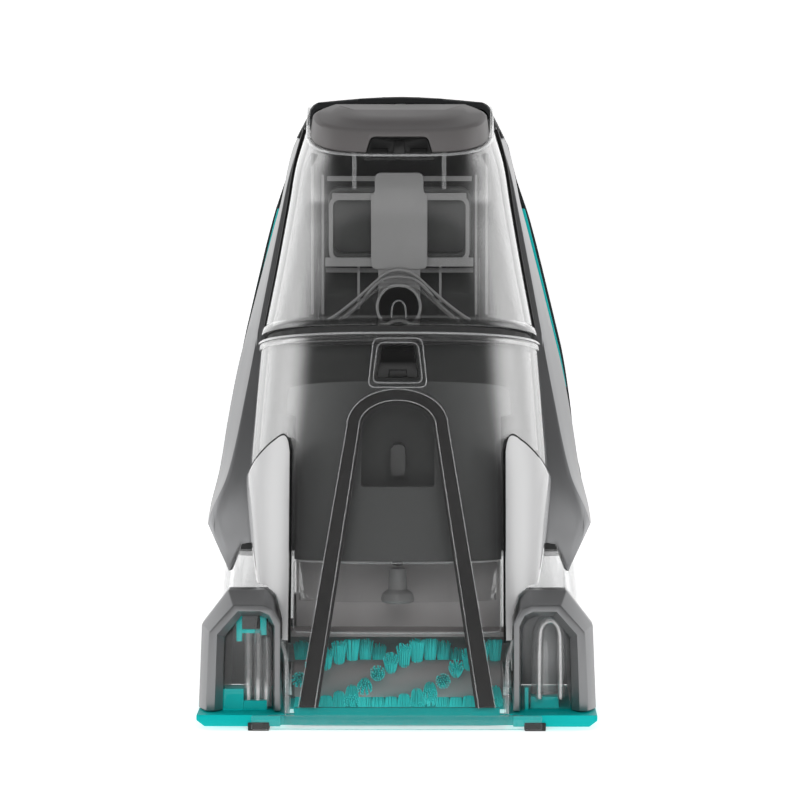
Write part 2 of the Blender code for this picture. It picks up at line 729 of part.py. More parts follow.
def brush_drive():
    """Brush with its bearings, pulleys, belt and motor."""
    brush_roll()
    hub = (BRUSH_V, BRUSH_Z)
    tube("brush_bearing_right", "x", hub, 6.0, 3.3, 37.5, 40.2, "steel")
    tube("brush_bearing_left", "x", hub, 6.0, 3.3, -40.2, -37.5, "steel")
    tube("brush_pulley", "x", hub, BRUSH_PULLEY_R, 3.3, BELT_X - 2.2, BELT_X + 2.2, "dark_grey")
    belt = prism("drive_belt", belt_loop(1.8), "x", BELT_X - 2, BELT_X + 2, "dark_rubber")
    cut(belt, prism("inside", belt_loop(0.4), "x", BELT_X - 9, BELT_X + 9))
    centre = (MOTOR_V, MOTOR_Z)
    rod("brush_motor", "x", centre, 11.0, -38, 14, "steel", 20)
    radius = MOTOR_PULLEY_R
    steps = [(BELT_X - 2.2, radius), (BELT_X + 2.2, radius), (BELT_X + 2.2, 1.6), (-38.4, 1.6)]
    turned("motor_pulley", "x", centre, steps, "steel", 12)


def spray_parts():
    """Spray nozzle over the brush, its filter dome, the pump and the hose between them."""
    profile = [(42.2, 5.0), (45.0, 5.0), (46.0, 3.0), (54.0, 3.0)]
    turned("spray_nozzle", "z", (0, 31), profile, "charcoal", 12)
    dome = [(9.8, 4.6), (33.0, 4.6), (36.4, 3.4), (38.0, 1.2)]
    turned("spray_filter", "z", (52, 29), dome, "clear", 12)
    box("spray_pump", (20, 92, 57.6), (46, 113, 80), "steel")
    path = [(0, 31, 55.4), (0, 33, 60), (6, 48, 64), (20, 66, 66), (32, 80, 68), (33, 91.6, 69)]
    rings = []
    for k, (x, v, z) in enumerate(path):
        before, after = path[max(k - 1, 0)], path[min(k + 1, len(path) - 1)]
        run = (Vector(after) - Vector(before)).normalized()
        sideways = run.cross(Vector((1, 0, 0.001))).normalized()
        upwards = run.cross(sideways)
        ring = [tuple(Vector((x, v, z)) + sideways * a + upwards * b) for a, b in circle(2.0, 8)]
        rings.append(ring)
    loft("spray_hose", rings, "dark_rubber")


# ---------------------------------------------------------------- the works
def suction_parts():
    """Suction fan in its scroll, with its motor in a rubber cradle."""
    centre = (0, FAN_Z)
    case = rod("fan_housing", "v", centre, FAN_RADIUS + 5, FAN_V - 4, FAN_V + 16, "charcoal", 24)
    cut(case, rod("room", "v", centre, FAN_RADIUS + 2, FAN_V - 2, FAN_V + 14, count=24))
    cut(case, rod("eye", "v", centre, 14, FAN_V - 9, FAN_V))
    cut(case, rod("shaft_hole", "v", centre, 5, FAN_V, FAN_V + 30))
    fan = rod("suction_fan", "v", centre, FAN_RADIUS, FAN_V + 9, FAN_V + 11, "dark_grey", 24)
    for k in range(FAN_BLADES):
        turn = 2 * math.pi * k / FAN_BLADES
        c, s = math.cos(turn), math.sin(turn)
        tip = (28 * math.cos(turn + 0.5), 28 * math.sin(turn + 0.5))
        blade = [(9 * c, 9 * s), (9 * c - s, 9 * s + c), (tip[0] - s, tip[1] + c), tip]
        join(fan, prism("blade", [(a, b + FAN_Z) for a, b in blade], "v", FAN_V + 0.5, FAN_V + 9.5))
    join(fan, rod("hub", "v", centre, 5.0, FAN_V + 2, FAN_V + 10))
    join(fan, rod("shaft", "v", centre, 2.5, FAN_V + 10, FAN_V + 20))
    rod("suction_motor", "v", centre, 24, FAN_V + 21, FAN_V + 80, "steel", 20)
    mount = tube("motor_mount", "v", centre, 27, 24.4, FAN_V + 30, FAN_V + 70, "dark_rubber", 20)
    join(mount, box("feet", (-20, FAN_V + 34, 57.6), (20, FAN_V + 66, 77)))
    cut(mount, rod("bore", "v", centre, 24.4, FAN_V + 20, FAN_V + 90, count=20))


def electric_parts():
    """Battery, circuit board and the charge inlet with its flap."""
    prism("battery_pack", rounded(30, 22, 6, (0, 82)), "v", 214, 296, "dark_grey")
    box("circuit_board", (-28, 216, 106), (28, 280, 107.8), "board_green")
    cup = box("charge_port", (-9, 337.6, 72.4), (9, 343.0, 85.6), "dark_grey")
    cut(cup, rod("socket", "v", (0, 79), 4.0, 339.4, 350))
    box("charge_flap", (-9, 343.6, 72.4), (9, 345.4, 85.6), "dark_rubber")


def controls():
    """Power button, its lamp, and the spray trigger under the handle."""
    roof = ROOF(BUTTON_V)
    flange = [(roof - 7.0, 9.4), (roof - 5.0, 9.4)]
    profile = flange + [(roof - 5.0, 8.0), (roof - 0.4, 8.0), (roof + 0.4, 7.0)]
    turned("power_button", "z", (0, BUTTON_V), profile, "dark_grey")
    rod("status_light", "z", (0, 134), 2.0, 216, 219.2, "lamp_white", 10)
    lever = [(-4, 184.5), (3, 183.5), (9, 178), (10, 166), (14, 166), (17, 180), (17, 190), (-2, 190.6)]
    prism("spray_trigger", [(TRIGGER_V + a, b) for a, b in lever], "x", -6.8, 6.8, "teal")
    rod("trigger_spring", "z", (0, TRIGGER_V + 12), 2.0, 190.6, 192.6, "steel", 8)
    box("trigger_switch", (-5, TRIGGER_V + 7, 193.0), (5, TRIGGER_V + 20, 197.6), "dark_grey")
    rod("release_spring", "v", (0, 127), 2.4, RELEASE_FRONT + 10.4, RELEASE_FRONT + 16, "steel", 10)


def tank_plan(z, shrink):
    """Closed plan outline of the clean-water tank at height z, narrower above its waist."""
    half = (66.0 if z < 40 else 64.0) - shrink
    front, rear = TANK_FRONT + shrink, TANK_REAR - shrink
    right = [(half - 4, front), (half, front + 10), (half, 220.0)]
    right += [(half - 8, 290.0), (half - 26, rear - 4), (half - 32, rear)]
    return [(x, v, z) for x, v in right] + [(-x, v, z) for x, v in right[::-1]]


def clean_tank():
    """Clear tank under the body. It slides out to the rear."""
    levels = [(TANK_LOW, 4.0), (TANK_LOW + 4.0, 0.0), (38.0, 0.0), (TANK_HIGH, 0.0)]
    tank = loft("clean_tank", [tank_plan(z, shrink) for z, shrink in levels], "clear")
    inner = [(TANK_LOW + 2.0, 6.0), (TANK_LOW + 6.0, 2.2), (38.0, 2.2), (TANK_HIGH - 2.0, 2.2)]
    cut(tank, loft("water_room", [tank_plan(z, shrink) for z, shrink in inner], "clear"))
    cut(tank, rod("fill_hole", "v", (0, CAP_Z), 11.0, TANK_REAR - 8, TANK_REAR + 8))
    cut(tank, rod("valve_hole", "z", (0, 104), 4.4, 45, 60, count=12))
    valve = [(48.0, 3.4), (54.3, 3.4), (54.3, 5.4), (54.9, 5.4)]
    turned("tank_valve", "z", (0, 104), valve, "dark_grey", 12)
    knob = [(330, 10.4), (336.4, 10.4), (336.4, 13.5), (341.0, 12.5)]
    cap = turned("fill_cap", "v", (0, CAP_Z), knob, "teal", 20)
    cut(cap, box("groove_left", (-20, 338.6, CAP_Z + 2), (20, 345, CAP_Z + 20)))
    cut(cap, box("groove_right", (-20, 338.6, CAP_Z - 20), (20, 345, CAP_Z - 2)))
    box("rear_foot", (-34, 316, 0), (34, 324, 1.1), "dark_rubber")


def front_pads():
    """Two rubber pads under the front of the base."""
    for side, name in ((1, "front_pad_right"), (-1, "front_pad_left")):
        near, far = sorted((44.5 * side, 52 * side))
        box(name, (near, 8, 0), (far, 20, BASE_LOW - 0.3), "dark_rubber")


# ---------------------------------------------------------------- the whole machine
BRUSH_AXIS = (0, BRUSH_V, BRUSH_Z)
TRIGGER_AXIS = (0, TRIGGER_V, TRIGGER_Z)
BUTTON_AXIS = (0, BUTTON_V, ROOF(BUTTON_V))
RELEASE_AXIS = (0, RELEASE_FRONT, (BUTTON_LOW + BUTTON_HIGH) / 2)
TANK_SEAT = (0, REAR_LEAN(SEAM_Z), SEAM_Z)
LID_AXIS = (0, 122.5, 214.0)
WATER_SEAT = (0, TANK_FRONT, TANK_LOW)
FLAP_AXIS = (0, 345.4, 72.4)

# a moving piece has its origin on its joint's axis
ORIGINS = {
    "brush_roll": BRUSH_AXIS,
    "brush_pulley": BRUSH_AXIS,
    "motor_pulley": (0, MOTOR_V, MOTOR_Z),
    "suction_fan": (0, FAN_V + 10, FAN_Z),
    "power_button": BUTTON_AXIS,
    "tank_release_button": RELEASE_AXIS,
    "spray_trigger": TRIGGER_AXIS,
    "recovery_tank": TANK_SEAT,
    "riser_duct": TANK_SEAT,
    "float_cage": TANK_SEAT,
    "baffle": TANK_SEAT,
    "tank_gasket": TANK_SEAT,
    "float": (0, 92, 170.4),
    "tank_lid": LID_AXIS,
    "lid_gasket": LID_AXIS,
    "clean_tank": WATER_SEAT,
    "rear_foot": WATER_SEAT,
    "tank_valve": WATER_SEAT,
    "fill_cap": (0, TANK_REAR, CAP_Z),
    "charge_flap": FLAP_AXIS,
}


def set_origins():
    for name, point in ORIGINS.items():
        obj = bpy.data.objects[name]
        origin = place(*point)
        obj.data.transform(Matrix.Translation(-origin))
        obj.location = origin


def scale_to_metres():
    for obj in bpy.data.objects:
        obj.data.transform(Matrix.Scale(0.001, 4))
        obj.location *= 0.001


def make_materials():
    material("smoke_clear", (0.45, 0.46, 0.47), 0.05, alpha=0.35)
    material("clear", (0.85, 0.86, 0.87), 0.05, alpha=0.3)
    material("silver", (0.5, 0.51, 0.52), 0.3)
    material("warm_grey", (0.17, 0.16, 0.16), 0.45)
    material("dark_grey", (0.12, 0.12, 0.12), 0.5)
    material("charcoal", (0.07, 0.07, 0.07), 0.5)
    material("black", (0.02, 0.02, 0.02), 0.4)
    material("teal", (0.0, 0.45, 0.41), 0.45)
    material("dark_rubber", (0.04, 0.04, 0.04), 0.7)
    material("steel", (0.6, 0.6, 0.6), 0.3, metallic=1.0)
    material("board_green", (0.02, 0.2, 0.08), 0.6)
    material("white", (0.8, 0.8, 0.78), 0.5)
    material("lamp_white", (0.85, 0.9, 0.9), 0.3)


def build():
    for old in list(bpy.data.objects):
        bpy.data.objects.remove(old)
    make_materials()
    duct_cover()
    duct_gasket()
    duct_back()
    spray_window()
    tank_release()
    recovery_tank()
    lid()
    tank_parts()
    for side, word in ((1, "right"), (-1, "left")):
        cheek(side, "cheek_" + word)
        side_shell(side, "side_shell_" + word)
        stripe(side, "stripe_" + word)
        shoulder(side, "shoulder_" + word)
        window(side, "window_" + word)
    bulkhead()
    rear_housing()
    grip()
    deck()
    base_plate()
    chamber()
    brush_drive()
    spray_parts()
    suction_parts()
    electric_parts()
    controls()
    clean_tank()
    front_pads()
    set_origins()
    scale_to_metres()


build()
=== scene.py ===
"""Looks of the handheld carpet spot cleaner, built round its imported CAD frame.
"""

import random
from math import acos, copysign, cos, exp, hypot, log1p, pi, radians, sin

import bmesh
import bpy
from mathutils import Matrix, Vector


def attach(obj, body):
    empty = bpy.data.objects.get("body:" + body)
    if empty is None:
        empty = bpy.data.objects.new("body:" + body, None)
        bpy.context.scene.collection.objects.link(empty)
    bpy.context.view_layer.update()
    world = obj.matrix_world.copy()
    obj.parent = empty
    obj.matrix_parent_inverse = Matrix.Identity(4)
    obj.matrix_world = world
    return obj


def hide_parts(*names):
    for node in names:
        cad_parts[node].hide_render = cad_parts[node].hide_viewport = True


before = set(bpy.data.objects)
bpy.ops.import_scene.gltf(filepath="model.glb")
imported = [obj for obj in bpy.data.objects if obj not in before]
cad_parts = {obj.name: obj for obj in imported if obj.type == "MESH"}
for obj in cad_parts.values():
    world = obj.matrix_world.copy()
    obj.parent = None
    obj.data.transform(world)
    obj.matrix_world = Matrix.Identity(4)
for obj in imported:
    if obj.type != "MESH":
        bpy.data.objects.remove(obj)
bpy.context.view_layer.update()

# ---- driving dimensions, mm unless said otherwise
LENGTH = 346.0
WALL = 2.0
SHELL_WALL = 2.4
SHELL_TOP = 209.0
SEAM_Z = 131.0
TANK_TOP = 210.0
DUCT_DEPTH = 9.4
BRUSH_V, BRUSH_Z = 30.0, 14.8
BRUSH_RADIUS, CORE_RADIUS, BRUSH_HALF = 14.0, 6.6, 37.0
SHROUD_RADIUS = 18.4
BRUSH_ROWS, BRUSH_LEAD, BRUSH_START = 3, 76.5, -10.2
TUFTS, TUFT_PITCH, TUFT_ROOT, TUFT_TIP, STRAND_SIDES = 16, 4.6, 1.7, 2.55, 5
BASE_HALF, BASE_LOW, BASE_HIGH, BASE_BACK = 70.0, 1.5, 5.5, 82.0
SHOULDER_IN = 40.8
CAMERA_DISTANCE, CAMERA_LENS = 1.65, 200.0
CAMERA_ELEVATION, CAMERA_AZIMUTH = 4.0, 0.6
CAMERA_TARGET = (0, -0.063, 0.110)
CAMERA_SHIFT = -0.00625
SEED = 7
ASIDE = 90  # farther out than any part of the machine
FLOOR_HALF = 120  # metres
FRONT_LIGHT, SIDE_LIGHT, BACK_LIGHT, HORIZON_LIGHT, TOP_SHARE = 0.09, 2.9, 1.3, 1.02, 0.16
SIDES = ((1, "right"), (-1, "left"))
COLUMN_POINTS, HANDLE_POINTS = 97, 32
CORNER_STEPS = 8


# ---- numbers
def through(*knots):
    """A smooth function through (input, output) knots, flat beyond both ends, with no overshoot."""
    xs = [k[0] for k in knots]
    ys = [k[1] for k in knots]
    steps = [(ys[i + 1] - ys[i]) / (xs[i + 1] - xs[i]) for i in range(len(xs) - 1)]
    slopes = [steps[0]]
    for a, b in zip(steps, steps[1:]):
        slopes.append(0.0 if a * b <= 0 else 2 * a * b / (a + b))
    slopes.append(steps[-1])

    def value(x):
        if x <= xs[0]:
            return ys[0]
        if x >= xs[-1]:
            return ys[-1]
        i = max(k for k in range(len(xs) - 1) if xs[k] <= x)
        h = xs[i + 1] - xs[i]
        t = (x - xs[i]) / h
        rise = ys[i] * (1 + 2 * t) * (1 - t) ** 2 + ys[i + 1] * t * t * (3 - 2 * t)
        return rise + h * (slopes[i] * t * (1 - t) ** 2 - slopes[i + 1] * t * t * (1 - t))

    return value


def spread(low, high, count):
    """Evenly spaced numbers, ends included."""
    return [low + (high - low) * i / (count - 1) for i in range(count)]


def span(side, near, far):
    """Two distances from the middle, as a low and a high x."""
    return sorted((side * near, side * far))


# ---- meshes
def placed(name, data):
    """An object that holds data, in the scene."""
    obj = bpy.data.objects.new(name, data)
    bpy.context.scene.collection.objects.link(obj)
    return obj


def new_object(name, points, faces):
    """A mesh object from design points, centred along the part's length."""
    mesh = bpy.data.meshes.new(name)
    mesh.from_pydata([(x, v - LENGTH / 2, z) for x, v, z in points], [], faces)
    work = bmesh.new()
    work.from_mesh(mesh)
    bmesh.ops.recalc_face_normals(work, faces=work.faces)
    work.to_mesh(mesh)
    work.free()
    return placed(name, mesh)


def sheet(name, outer, inner):
    """A wall of real thickness between two grids of points with the same rows and columns."""
    rows, cols = len(outer), len(outer[0])
    points = [p for row in outer for p in row] + [p for row in inner for p in row]
    half = rows * cols

    def at(i, j, side):
        return side * half + i * cols + j

    faces = []
    for i in range(rows - 1):
        for j in range(cols - 1):
            for side in (0, 1):
                corners = ((i, j), (i + 1, j), (i + 1, j + 1), (i, j + 1))
                faces.append([at(a, b, side) for a, b in corners])
    for j in range(cols - 1):
        for i in (0, rows - 1):
            faces.append((at(i, j, 0), at(i, j + 1, 0), at(i, j + 1, 1), at(i, j, 1)))
    for i in range(rows - 1):
        for j in (0, cols - 1):
            faces.append((at(i, j, 0), at(i + 1, j, 0), at(i + 1, j, 1), at(i, j, 1)))
    return new_object(name, points, faces)


def loft(name, rings):
    """A solid through closed rings with the same number of points, capped at both ends."""
    count = len(rings[0])
    points = [p for ring in rings for p in ring]
    last = (len(rings) - 1) * count
    faces = [tuple(range(count)), tuple(range(last, last + count))]
    for i in range(len(rings) - 1):
        for j in range(count):
            k = (j + 1) % count
            low, high = i * count, (i + 1) * count
            faces.append((low + j, low + k, high + k, high + j))
    return new_object(name, points, faces)


ORDERS = {
    "x": lambda a, b, h: (h, a, b),
    "v": lambda a, b, h: (a, h, b),
    "z": lambda a, b, h: (a, b, h),
}


def prism(name, outline, axis, low, high):
    """An outline pushed along an axis: x takes (v, z) points, v takes (x, z) and z takes (x, v)."""
    order = ORDERS[axis]
    return loft(name, [[order(a, b, h) for a, b in outline] for h in (low, high)])


def box(name, lows, highs):
    (x0, v0, z0), (x1, v1, z1) = lows, highs
    return prism(name, [(x0, v0), (x1, v0), (x1, v1), (x0, v1)], "z", z0, z1)


def circle(radius, count=48, centre=(0.0, 0.0)):
    turn = 2 * pi / count
    return [(centre[0] + radius * cos(turn * i), centre[1] + radius * sin(turn * i)) for i in range(count)]


def turned(name, axis, centre, profile, count=48):
    """A round solid about an axis: profile lists (position along the axis, radius)."""
    order = ORDERS[axis]
    return loft(name, [[order(a, b, h) for a, b in circle(r, count, centre)] for h, r in profile])


def rod(name, axis, centre, radius, low, high):
    return turned(name, axis, centre, [(low, radius), (high, radius)])


def pipe(name, path, radius, count=16, kind="NURBS"):
    """A round tube along design points: through a smooth curve, or from point to point with kind POLY."""
    curve = bpy.data.curves.new(name, "CURVE")
    curve.dimensions = "3D"
    curve.bevel_depth = radius
    curve.bevel_resolution = count // 4
    curve.use_fill_caps = True
    spline = curve.splines.new(kind)
    spline.points.add(len(path) - 1)
    for point, (x, v, z) in zip(spline.points, path):
        point.co = (x, v - LENGTH / 2, z, 1.0)
    if kind == "NURBS":
        spline.use_endpoint_u = True
        spline.order_u = 4
        spline.resolution_u = 8
    made = placed(name, curve)
    mesh = bpy.data.meshes.new_from_object(made.evaluated_get(bpy.context.evaluated_depsgraph_get()))
    bpy.data.objects.remove(made)
    return placed(name, mesh)


def rounded(half_a, half_b, radius, centre=(0.0, 0.0)):
    """A rectangle with round corners."""
    points = []
    for sa, sb, start in ((1, 1, 0), (-1, 1, 90), (-1, -1, 180), (1, -1, 270)):
        for k in range(CORNER_STEPS + 1):
            turn = radians(start + 90 * k / CORNER_STEPS)
            a = centre[0] + sa * (half_a - radius) + radius * cos(turn)
            b = centre[1] + sb * (half_b - radius) + radius * sin(turn)
            points.append((a, b))
    return points


def rounded_outline(points, radius, steps=6):
    """A closed outline with each corner replaced by an arc that touches both its sides."""
    out = []
    count = len(points)
    for i, p in enumerate(points):
        a, b = Vector(points[i - 1]), Vector(points[(i + 1) % count])
        here = Vector(p)
        to_a, to_b = (a - here), (b - here)
        reach = min(radius, 0.45 * to_a.length, 0.45 * to_b.length)
        start, end = here + to_a.normalized() * reach, here + to_b.normalized() * reach
        for k in range(steps + 1):
            t = k / steps
            q = start * (1 - t) ** 2 + here * 2 * t * (1 - t) + end * t * t
            out.append((q.x, q.y))
    return out


def flipped(side, outline):
    return [(side * a, b) for a, b in outline]


def bake(obj):
    """Applies an object's modifiers."""
    graph = bpy.context.evaluated_depsgraph_get()
    made = bpy.data.meshes.new_from_object(obj.evaluated_get(graph))
    obj.modifiers.clear()
    old, obj.data = obj.data, made
    bpy.data.meshes.remove(old)
    return obj


def combine(obj, other, operation):
    step = obj.modifiers.new(operation, "BOOLEAN")
    step.operation = operation
    step.solver = "EXACT"
    step.object = other
    bake(obj)
    bpy.data.objects.remove(other)
    return obj


def cut(obj, *others):
    for other in others:
        combine(obj, other, "DIFFERENCE")
    return obj


def join(obj, *others):
    for other in others:
        combine(obj, other, "UNION")
    return obj


def keep(obj, other):
    return combine(obj, other, "INTERSECT")


def soften(obj, width, segments=3, angle=30):
    """Rounds the edges sharper than angle."""
    step = obj.modifiers.new("edges", "BEVEL")
    step.width = width
    step.segments = segments
    step.limit_method = "ANGLE"
    step.angle_limit = radians(angle)
    step.harden_normals = False
    return bake(obj)


def gather(name, objects):
    """One object holding the meshes of several."""
    whole = bmesh.new()
    for obj in objects:
        whole.from_mesh(obj.data)
    mesh = bpy.data.meshes.new(name)
    whole.to_mesh(mesh)
    whole.free()
    for obj in objects:
        bpy.data.objects.remove(obj)
    return placed(name, mesh)


def finish(obj, body, look, replaced=(), smooth=32):
    """Scales a piece to metres, gives it its look and hangs it on its body."""
    obj.data.transform(Matrix.Scale(0.001, 4))
    obj.data.materials.clear()
    obj.data.materials.append(LOOKS[look])
    obj.data.shade_smooth()
    obj.data.set_sharp_from_angle(angle=radians(smooth))
    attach(obj, body)
    if replaced:
        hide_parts(*replaced)
    return obj


# ---- materials
LOOKS = {}


def nodes_of(name):
    made = bpy.data.materials.new(name)
    made.use_nodes = True
    tree = made.node_tree
    shader = tree.nodes["Principled BSDF"]
    return made, tree, shader, tree.nodes["Material Output"]


def grain(tree, scale, detail=4.0):
    """Noise in object space, for the texture of a moulded surface."""
    where = tree.nodes.new("ShaderNodeTexCoord")
    noise = tree.nodes.new("ShaderNodeTexNoise")
    noise.inputs["Scale"].default_value = scale
    noise.inputs["Detail"].default_value = detail
    tree.links.new(where.outputs["Object"], noise.inputs["Vector"])
    return noise.outputs["Fac"]


def remap(tree, value, low, high, first=0.0, last=1.0):
    """Turns a value between first and last into one between low and high."""
    step = tree.nodes.new("ShaderNodeMapRange")
    step.interpolation_type = "LINEAR" if (first, last) == (0.0, 1.0) else "SMOOTHSTEP"
    step.inputs["From Min"].default_value = first
    step.inputs["From Max"].default_value = last
    step.inputs["To Min"].default_value = low
    step.inputs["To Max"].default_value = high
    tree.links.new(value, step.inputs["Value"])
    return step.outputs["Result"]


def combine_numbers(tree, operation, a, b):
    step = tree.nodes.new("ShaderNodeMath")
    step.operation = operation
    tree.links.new(a, step.inputs[0])
    tree.links.new(b, step.inputs[1])
    return step.outputs["Value"]


def bump(tree, shader, value, strength, distance=0.0002):
    step = tree.nodes.new("ShaderNodeBump")
    step.inputs["Strength"].default_value = strength
    step.inputs["Distance"].default_value = distance
    tree.links.new(value, step.inputs["Height"])
    tree.links.new(step.outputs["Normal"], shader.inputs["Normal"])


def tone(tree, shader, colour, amount, scale):
    """Slight colour variation over the surface."""
    mix = tree.nodes.new("ShaderNodeMix")
    mix.data_type = "RGBA"
    mix.inputs["A"].default_value = (*[c * (1 - amount) for c in colour], 1.0)
    mix.inputs["B"].default_value = (*[min(1.0, c * (1 + amount)) for c in colour], 1.0)
    tree.links.new(grain(tree, scale, 2.0), mix.inputs["Factor"])
    tree.links.new(mix.outputs["Result"], shader.inputs["Base Color"])


def plastic(name, colour, roughness, texture=1200.0, depth=0.06, coat=0.0, metallic=0.0, shine=0.5):
    """Moulded plastic: fine grain in its bump, and slight changes of tone and gloss."""
    made, tree, shader, _ = nodes_of(name)
    tone(tree, shader, colour, 0.05, 18.0)
    gloss = remap(tree, grain(tree, 60.0), roughness * 0.88, roughness * 1.12)
    tree.links.new(gloss, shader.inputs["Roughness"])
    bump(tree, shader, grain(tree, texture, 3.0), depth)
    shader.inputs["Metallic"].default_value = metallic
    shader.inputs["Specular IOR Level"].default_value = shine
    shader.inputs["Coat Weight"].default_value = coat
    shader.inputs["Coat Roughness"].default_value = 0.06
    LOOKS[name] = made


def mirror_share(tree, facing_on):
    """How much of a clear skin mirrors: little face-on, more at a glancing angle, on both sides of a wall."""
    weight = tree.nodes.new("ShaderNodeLayerWeight")
    weight.inputs["Blend"].default_value = 0.5
    power = tree.nodes.new("ShaderNodeMath")
    power.operation = "POWER"
    power.inputs[1].default_value = 2.7
    tree.links.new(weight.outputs["Facing"], power.inputs[0])
    return remap(tree, power.outputs["Value"], facing_on, 1.0)


def see_through(name, tint, haze, haze_colour, mirror):
    """Clear plastic: a greyish see-through body, a mirror-like skin and a little haze."""
    made, tree, shader, output = nodes_of(name)
    links = tree.links
    shader.inputs["Base Color"].default_value = (*haze_colour, 1.0)
    shader.inputs["Roughness"].default_value = 0.3
    clear = tree.nodes.new("ShaderNodeBsdfTransparent")
    clear.inputs["Color"].default_value = (tint, tint, tint, 1.0)
    skin = tree.nodes.new("ShaderNodeBsdfGlossy")
    skin.inputs["Color"].default_value = (1, 1, 1, 1)
    links.new(remap(tree, grain(tree, 40.0, 2.0), 0.03, 0.07), skin.inputs["Roughness"])
    bump(tree, skin, grain(tree, 30.0, 2.0), 0.03, 0.0003)
    first = tree.nodes.new("ShaderNodeMixShader")
    links.new(mirror_share(tree, mirror), first.inputs["Fac"])
    links.new(clear.outputs["BSDF"], first.inputs[1])
    links.new(skin.outputs["BSDF"], first.inputs[2])
    second = tree.nodes.new("ShaderNodeMixShader")
    links.new(remap(tree, grain(tree, 25.0, 2.0), haze * 0.85, haze * 1.15), second.inputs["Fac"])
    links.new(first.outputs["Shader"], second.inputs[1])
    links.new(shader.outputs["BSDF"], second.inputs[2])
    links.new(second.outputs["Shader"], output.inputs["Surface"])
    LOOKS[name] = made


def make_looks():
    see_through("smoky", 0.95, 0.02, (0.3, 0.3, 0.3), 0.05)
    # clear plastic whose strong white haze also paints highlight lines on the beads, rims, ribs and dome that
    # use it
    see_through("clear_plastic_painted_highlight", 0.97, 0.14, (0.85, 0.86, 0.87), 0.07)
    # whitish haze on the clean tank: painted light standing in for the white background seen through the
    # clear tank
    see_through("whitish_painted_backlight", 0.98, 0.1, (0.8, 0.81, 0.82), 0.07)
    see_through("glass", 0.985, 0.012, (0.75, 0.76, 0.77), 0.02)
    see_through("crystal", 0.93, 0.03, (0.8, 0.8, 0.8), 0.3)
    plastic("silver", (0.235, 0.237, 0.242), 0.3, 1500.0, 0.05, metallic=0.75, shine=0.3)
    plastic("cheek_silver", (0.4, 0.4, 0.403), 0.14, 1500.0, 0.02, coat=0.8)
    plastic("warm_grey", (0.11, 0.104, 0.104), 0.42, 1600.0, 0.08, shine=0.3)
    plastic("duct_grey", (0.3, 0.3, 0.3), 0.35)
    plastic("wall_grey", (0.092, 0.094, 0.094), 0.5)
    # light grey that paints highlight lines on the tank's ledges, arches and boss ring
    plastic("ledge_grey_painted_highlight", (0.3, 0.3, 0.3), 0.4)
    plastic("dark_grey", (0.10, 0.10, 0.10), 0.5)
    plastic("charcoal", (0.075, 0.077, 0.076), 0.45)
    plastic("chamber_grey", (0.3, 0.275, 0.275), 0.5)
    # near-white copy of chamber grey that paints light onto the chamber wall, which lies in shade behind the
    # cover
    plastic("chamber_wall_painted_light", (0.8, 0.78, 0.78), 0.5)
    plastic("black", (0.016, 0.017, 0.018), 0.42, 1400.0, 0.1, shine=0.3)
    plastic("gloss_black", (0.01, 0.01, 0.01), 0.2, 1400.0, 0.01, shine=0.3)
    plastic("teal", (0.0, 0.46, 0.45), 0.42, 1300.0, 0.05, shine=0.15)
    # bristle teal about twice as light as the base's teal: painted light on a brush that lies in shade behind
    # the clear parts
    plastic("bristle", (0.05, 0.97, 0.94), 0.45, 4000.0, 0.02, shine=0.2)
    plastic("rubber", (0.03, 0.03, 0.03), 0.62, 2200.0, 0.12, shine=0.3)
    plastic("gasket", (0.03, 0.029, 0.029), 0.3, 2200.0, 0.03)
    plastic("steel", (0.6, 0.6, 0.6), 0.28, 900.0, 0.03, metallic=1.0)
    plastic("board", (0.02, 0.16, 0.07), 0.45, 700.0, 0.15)
    plastic("white", (0.78, 0.78, 0.76), 0.4)
    plastic("lamp", (0.8, 0.85, 0.85), 0.2, 1200.0, 0.01)


# ---- the column's skin, by height
FRONT_LEAN = through(
    (0, 0.0), (30, 4.6), (60, 12.6), (84, 20.5), (105, 28.3), (131, 39.0), (160, 52.0), (213, 79.0)
)
REAR_LEAN = through(
    (0, 4.8), (14, 8.0), (30, 17.0), (45, 36.0), (60, 54.0), (84, 72.0), (105, 82.0), (131, 90.0),
    (160, 102.0), (213, 124.0),
)
COVER_HALF = through(
    (0, 39.5), (24, 40.0), (36, 45.0), (42, 47.5), (57, 50.9), (70, 52.8), (84, 54.0), (102, 52.8),
    (131, 50.2),
)
TANK_HALF = through((131, 49.8), (143, 47.5), (156, 45.1), (180, 41.1), (195, 38.8), (205, 36.2), (214, 33.2))
TILT = through((0, 0.0), (30, 0.0), (105, 0.158), (131, 0.158), (170, 0.05), (210, -0.23), (220, -0.23))
FULLNESS = through((185, 2.6), (204, 3.4), (212, 4.0))


def column_half(z):
    return COVER_HALF(z) if z < SEAM_Z else TANK_HALF(z)


def column_point(turn, z, inset=0.0):
    """A point on the section of the column that starts at height z and tilts with its front edge."""
    rear = REAR_LEAN(z)
    deep = rear - FRONT_LEAN(z) - inset
    c, s = cos(turn), sin(turn)
    x = copysign((column_half(z) - inset) * abs(c) ** (2 / FULLNESS(z)), c)
    v = rear - deep * abs(s) ** (2 / FULLNESS(z))
    return (x, v, z + (rear - v) * TILT(z))


def front_point(x, z, inset=0.0):
    """The point of the column's front at x and z."""
    foot = z
    for _ in range(10):
        share = min(1.0, abs(x) / (column_half(foot) - inset))
        turn = acos(share ** (FULLNESS(foot) / 2))
        _, v, height = column_point(turn, foot, inset)
        foot += z - height
    return (x, v, z)


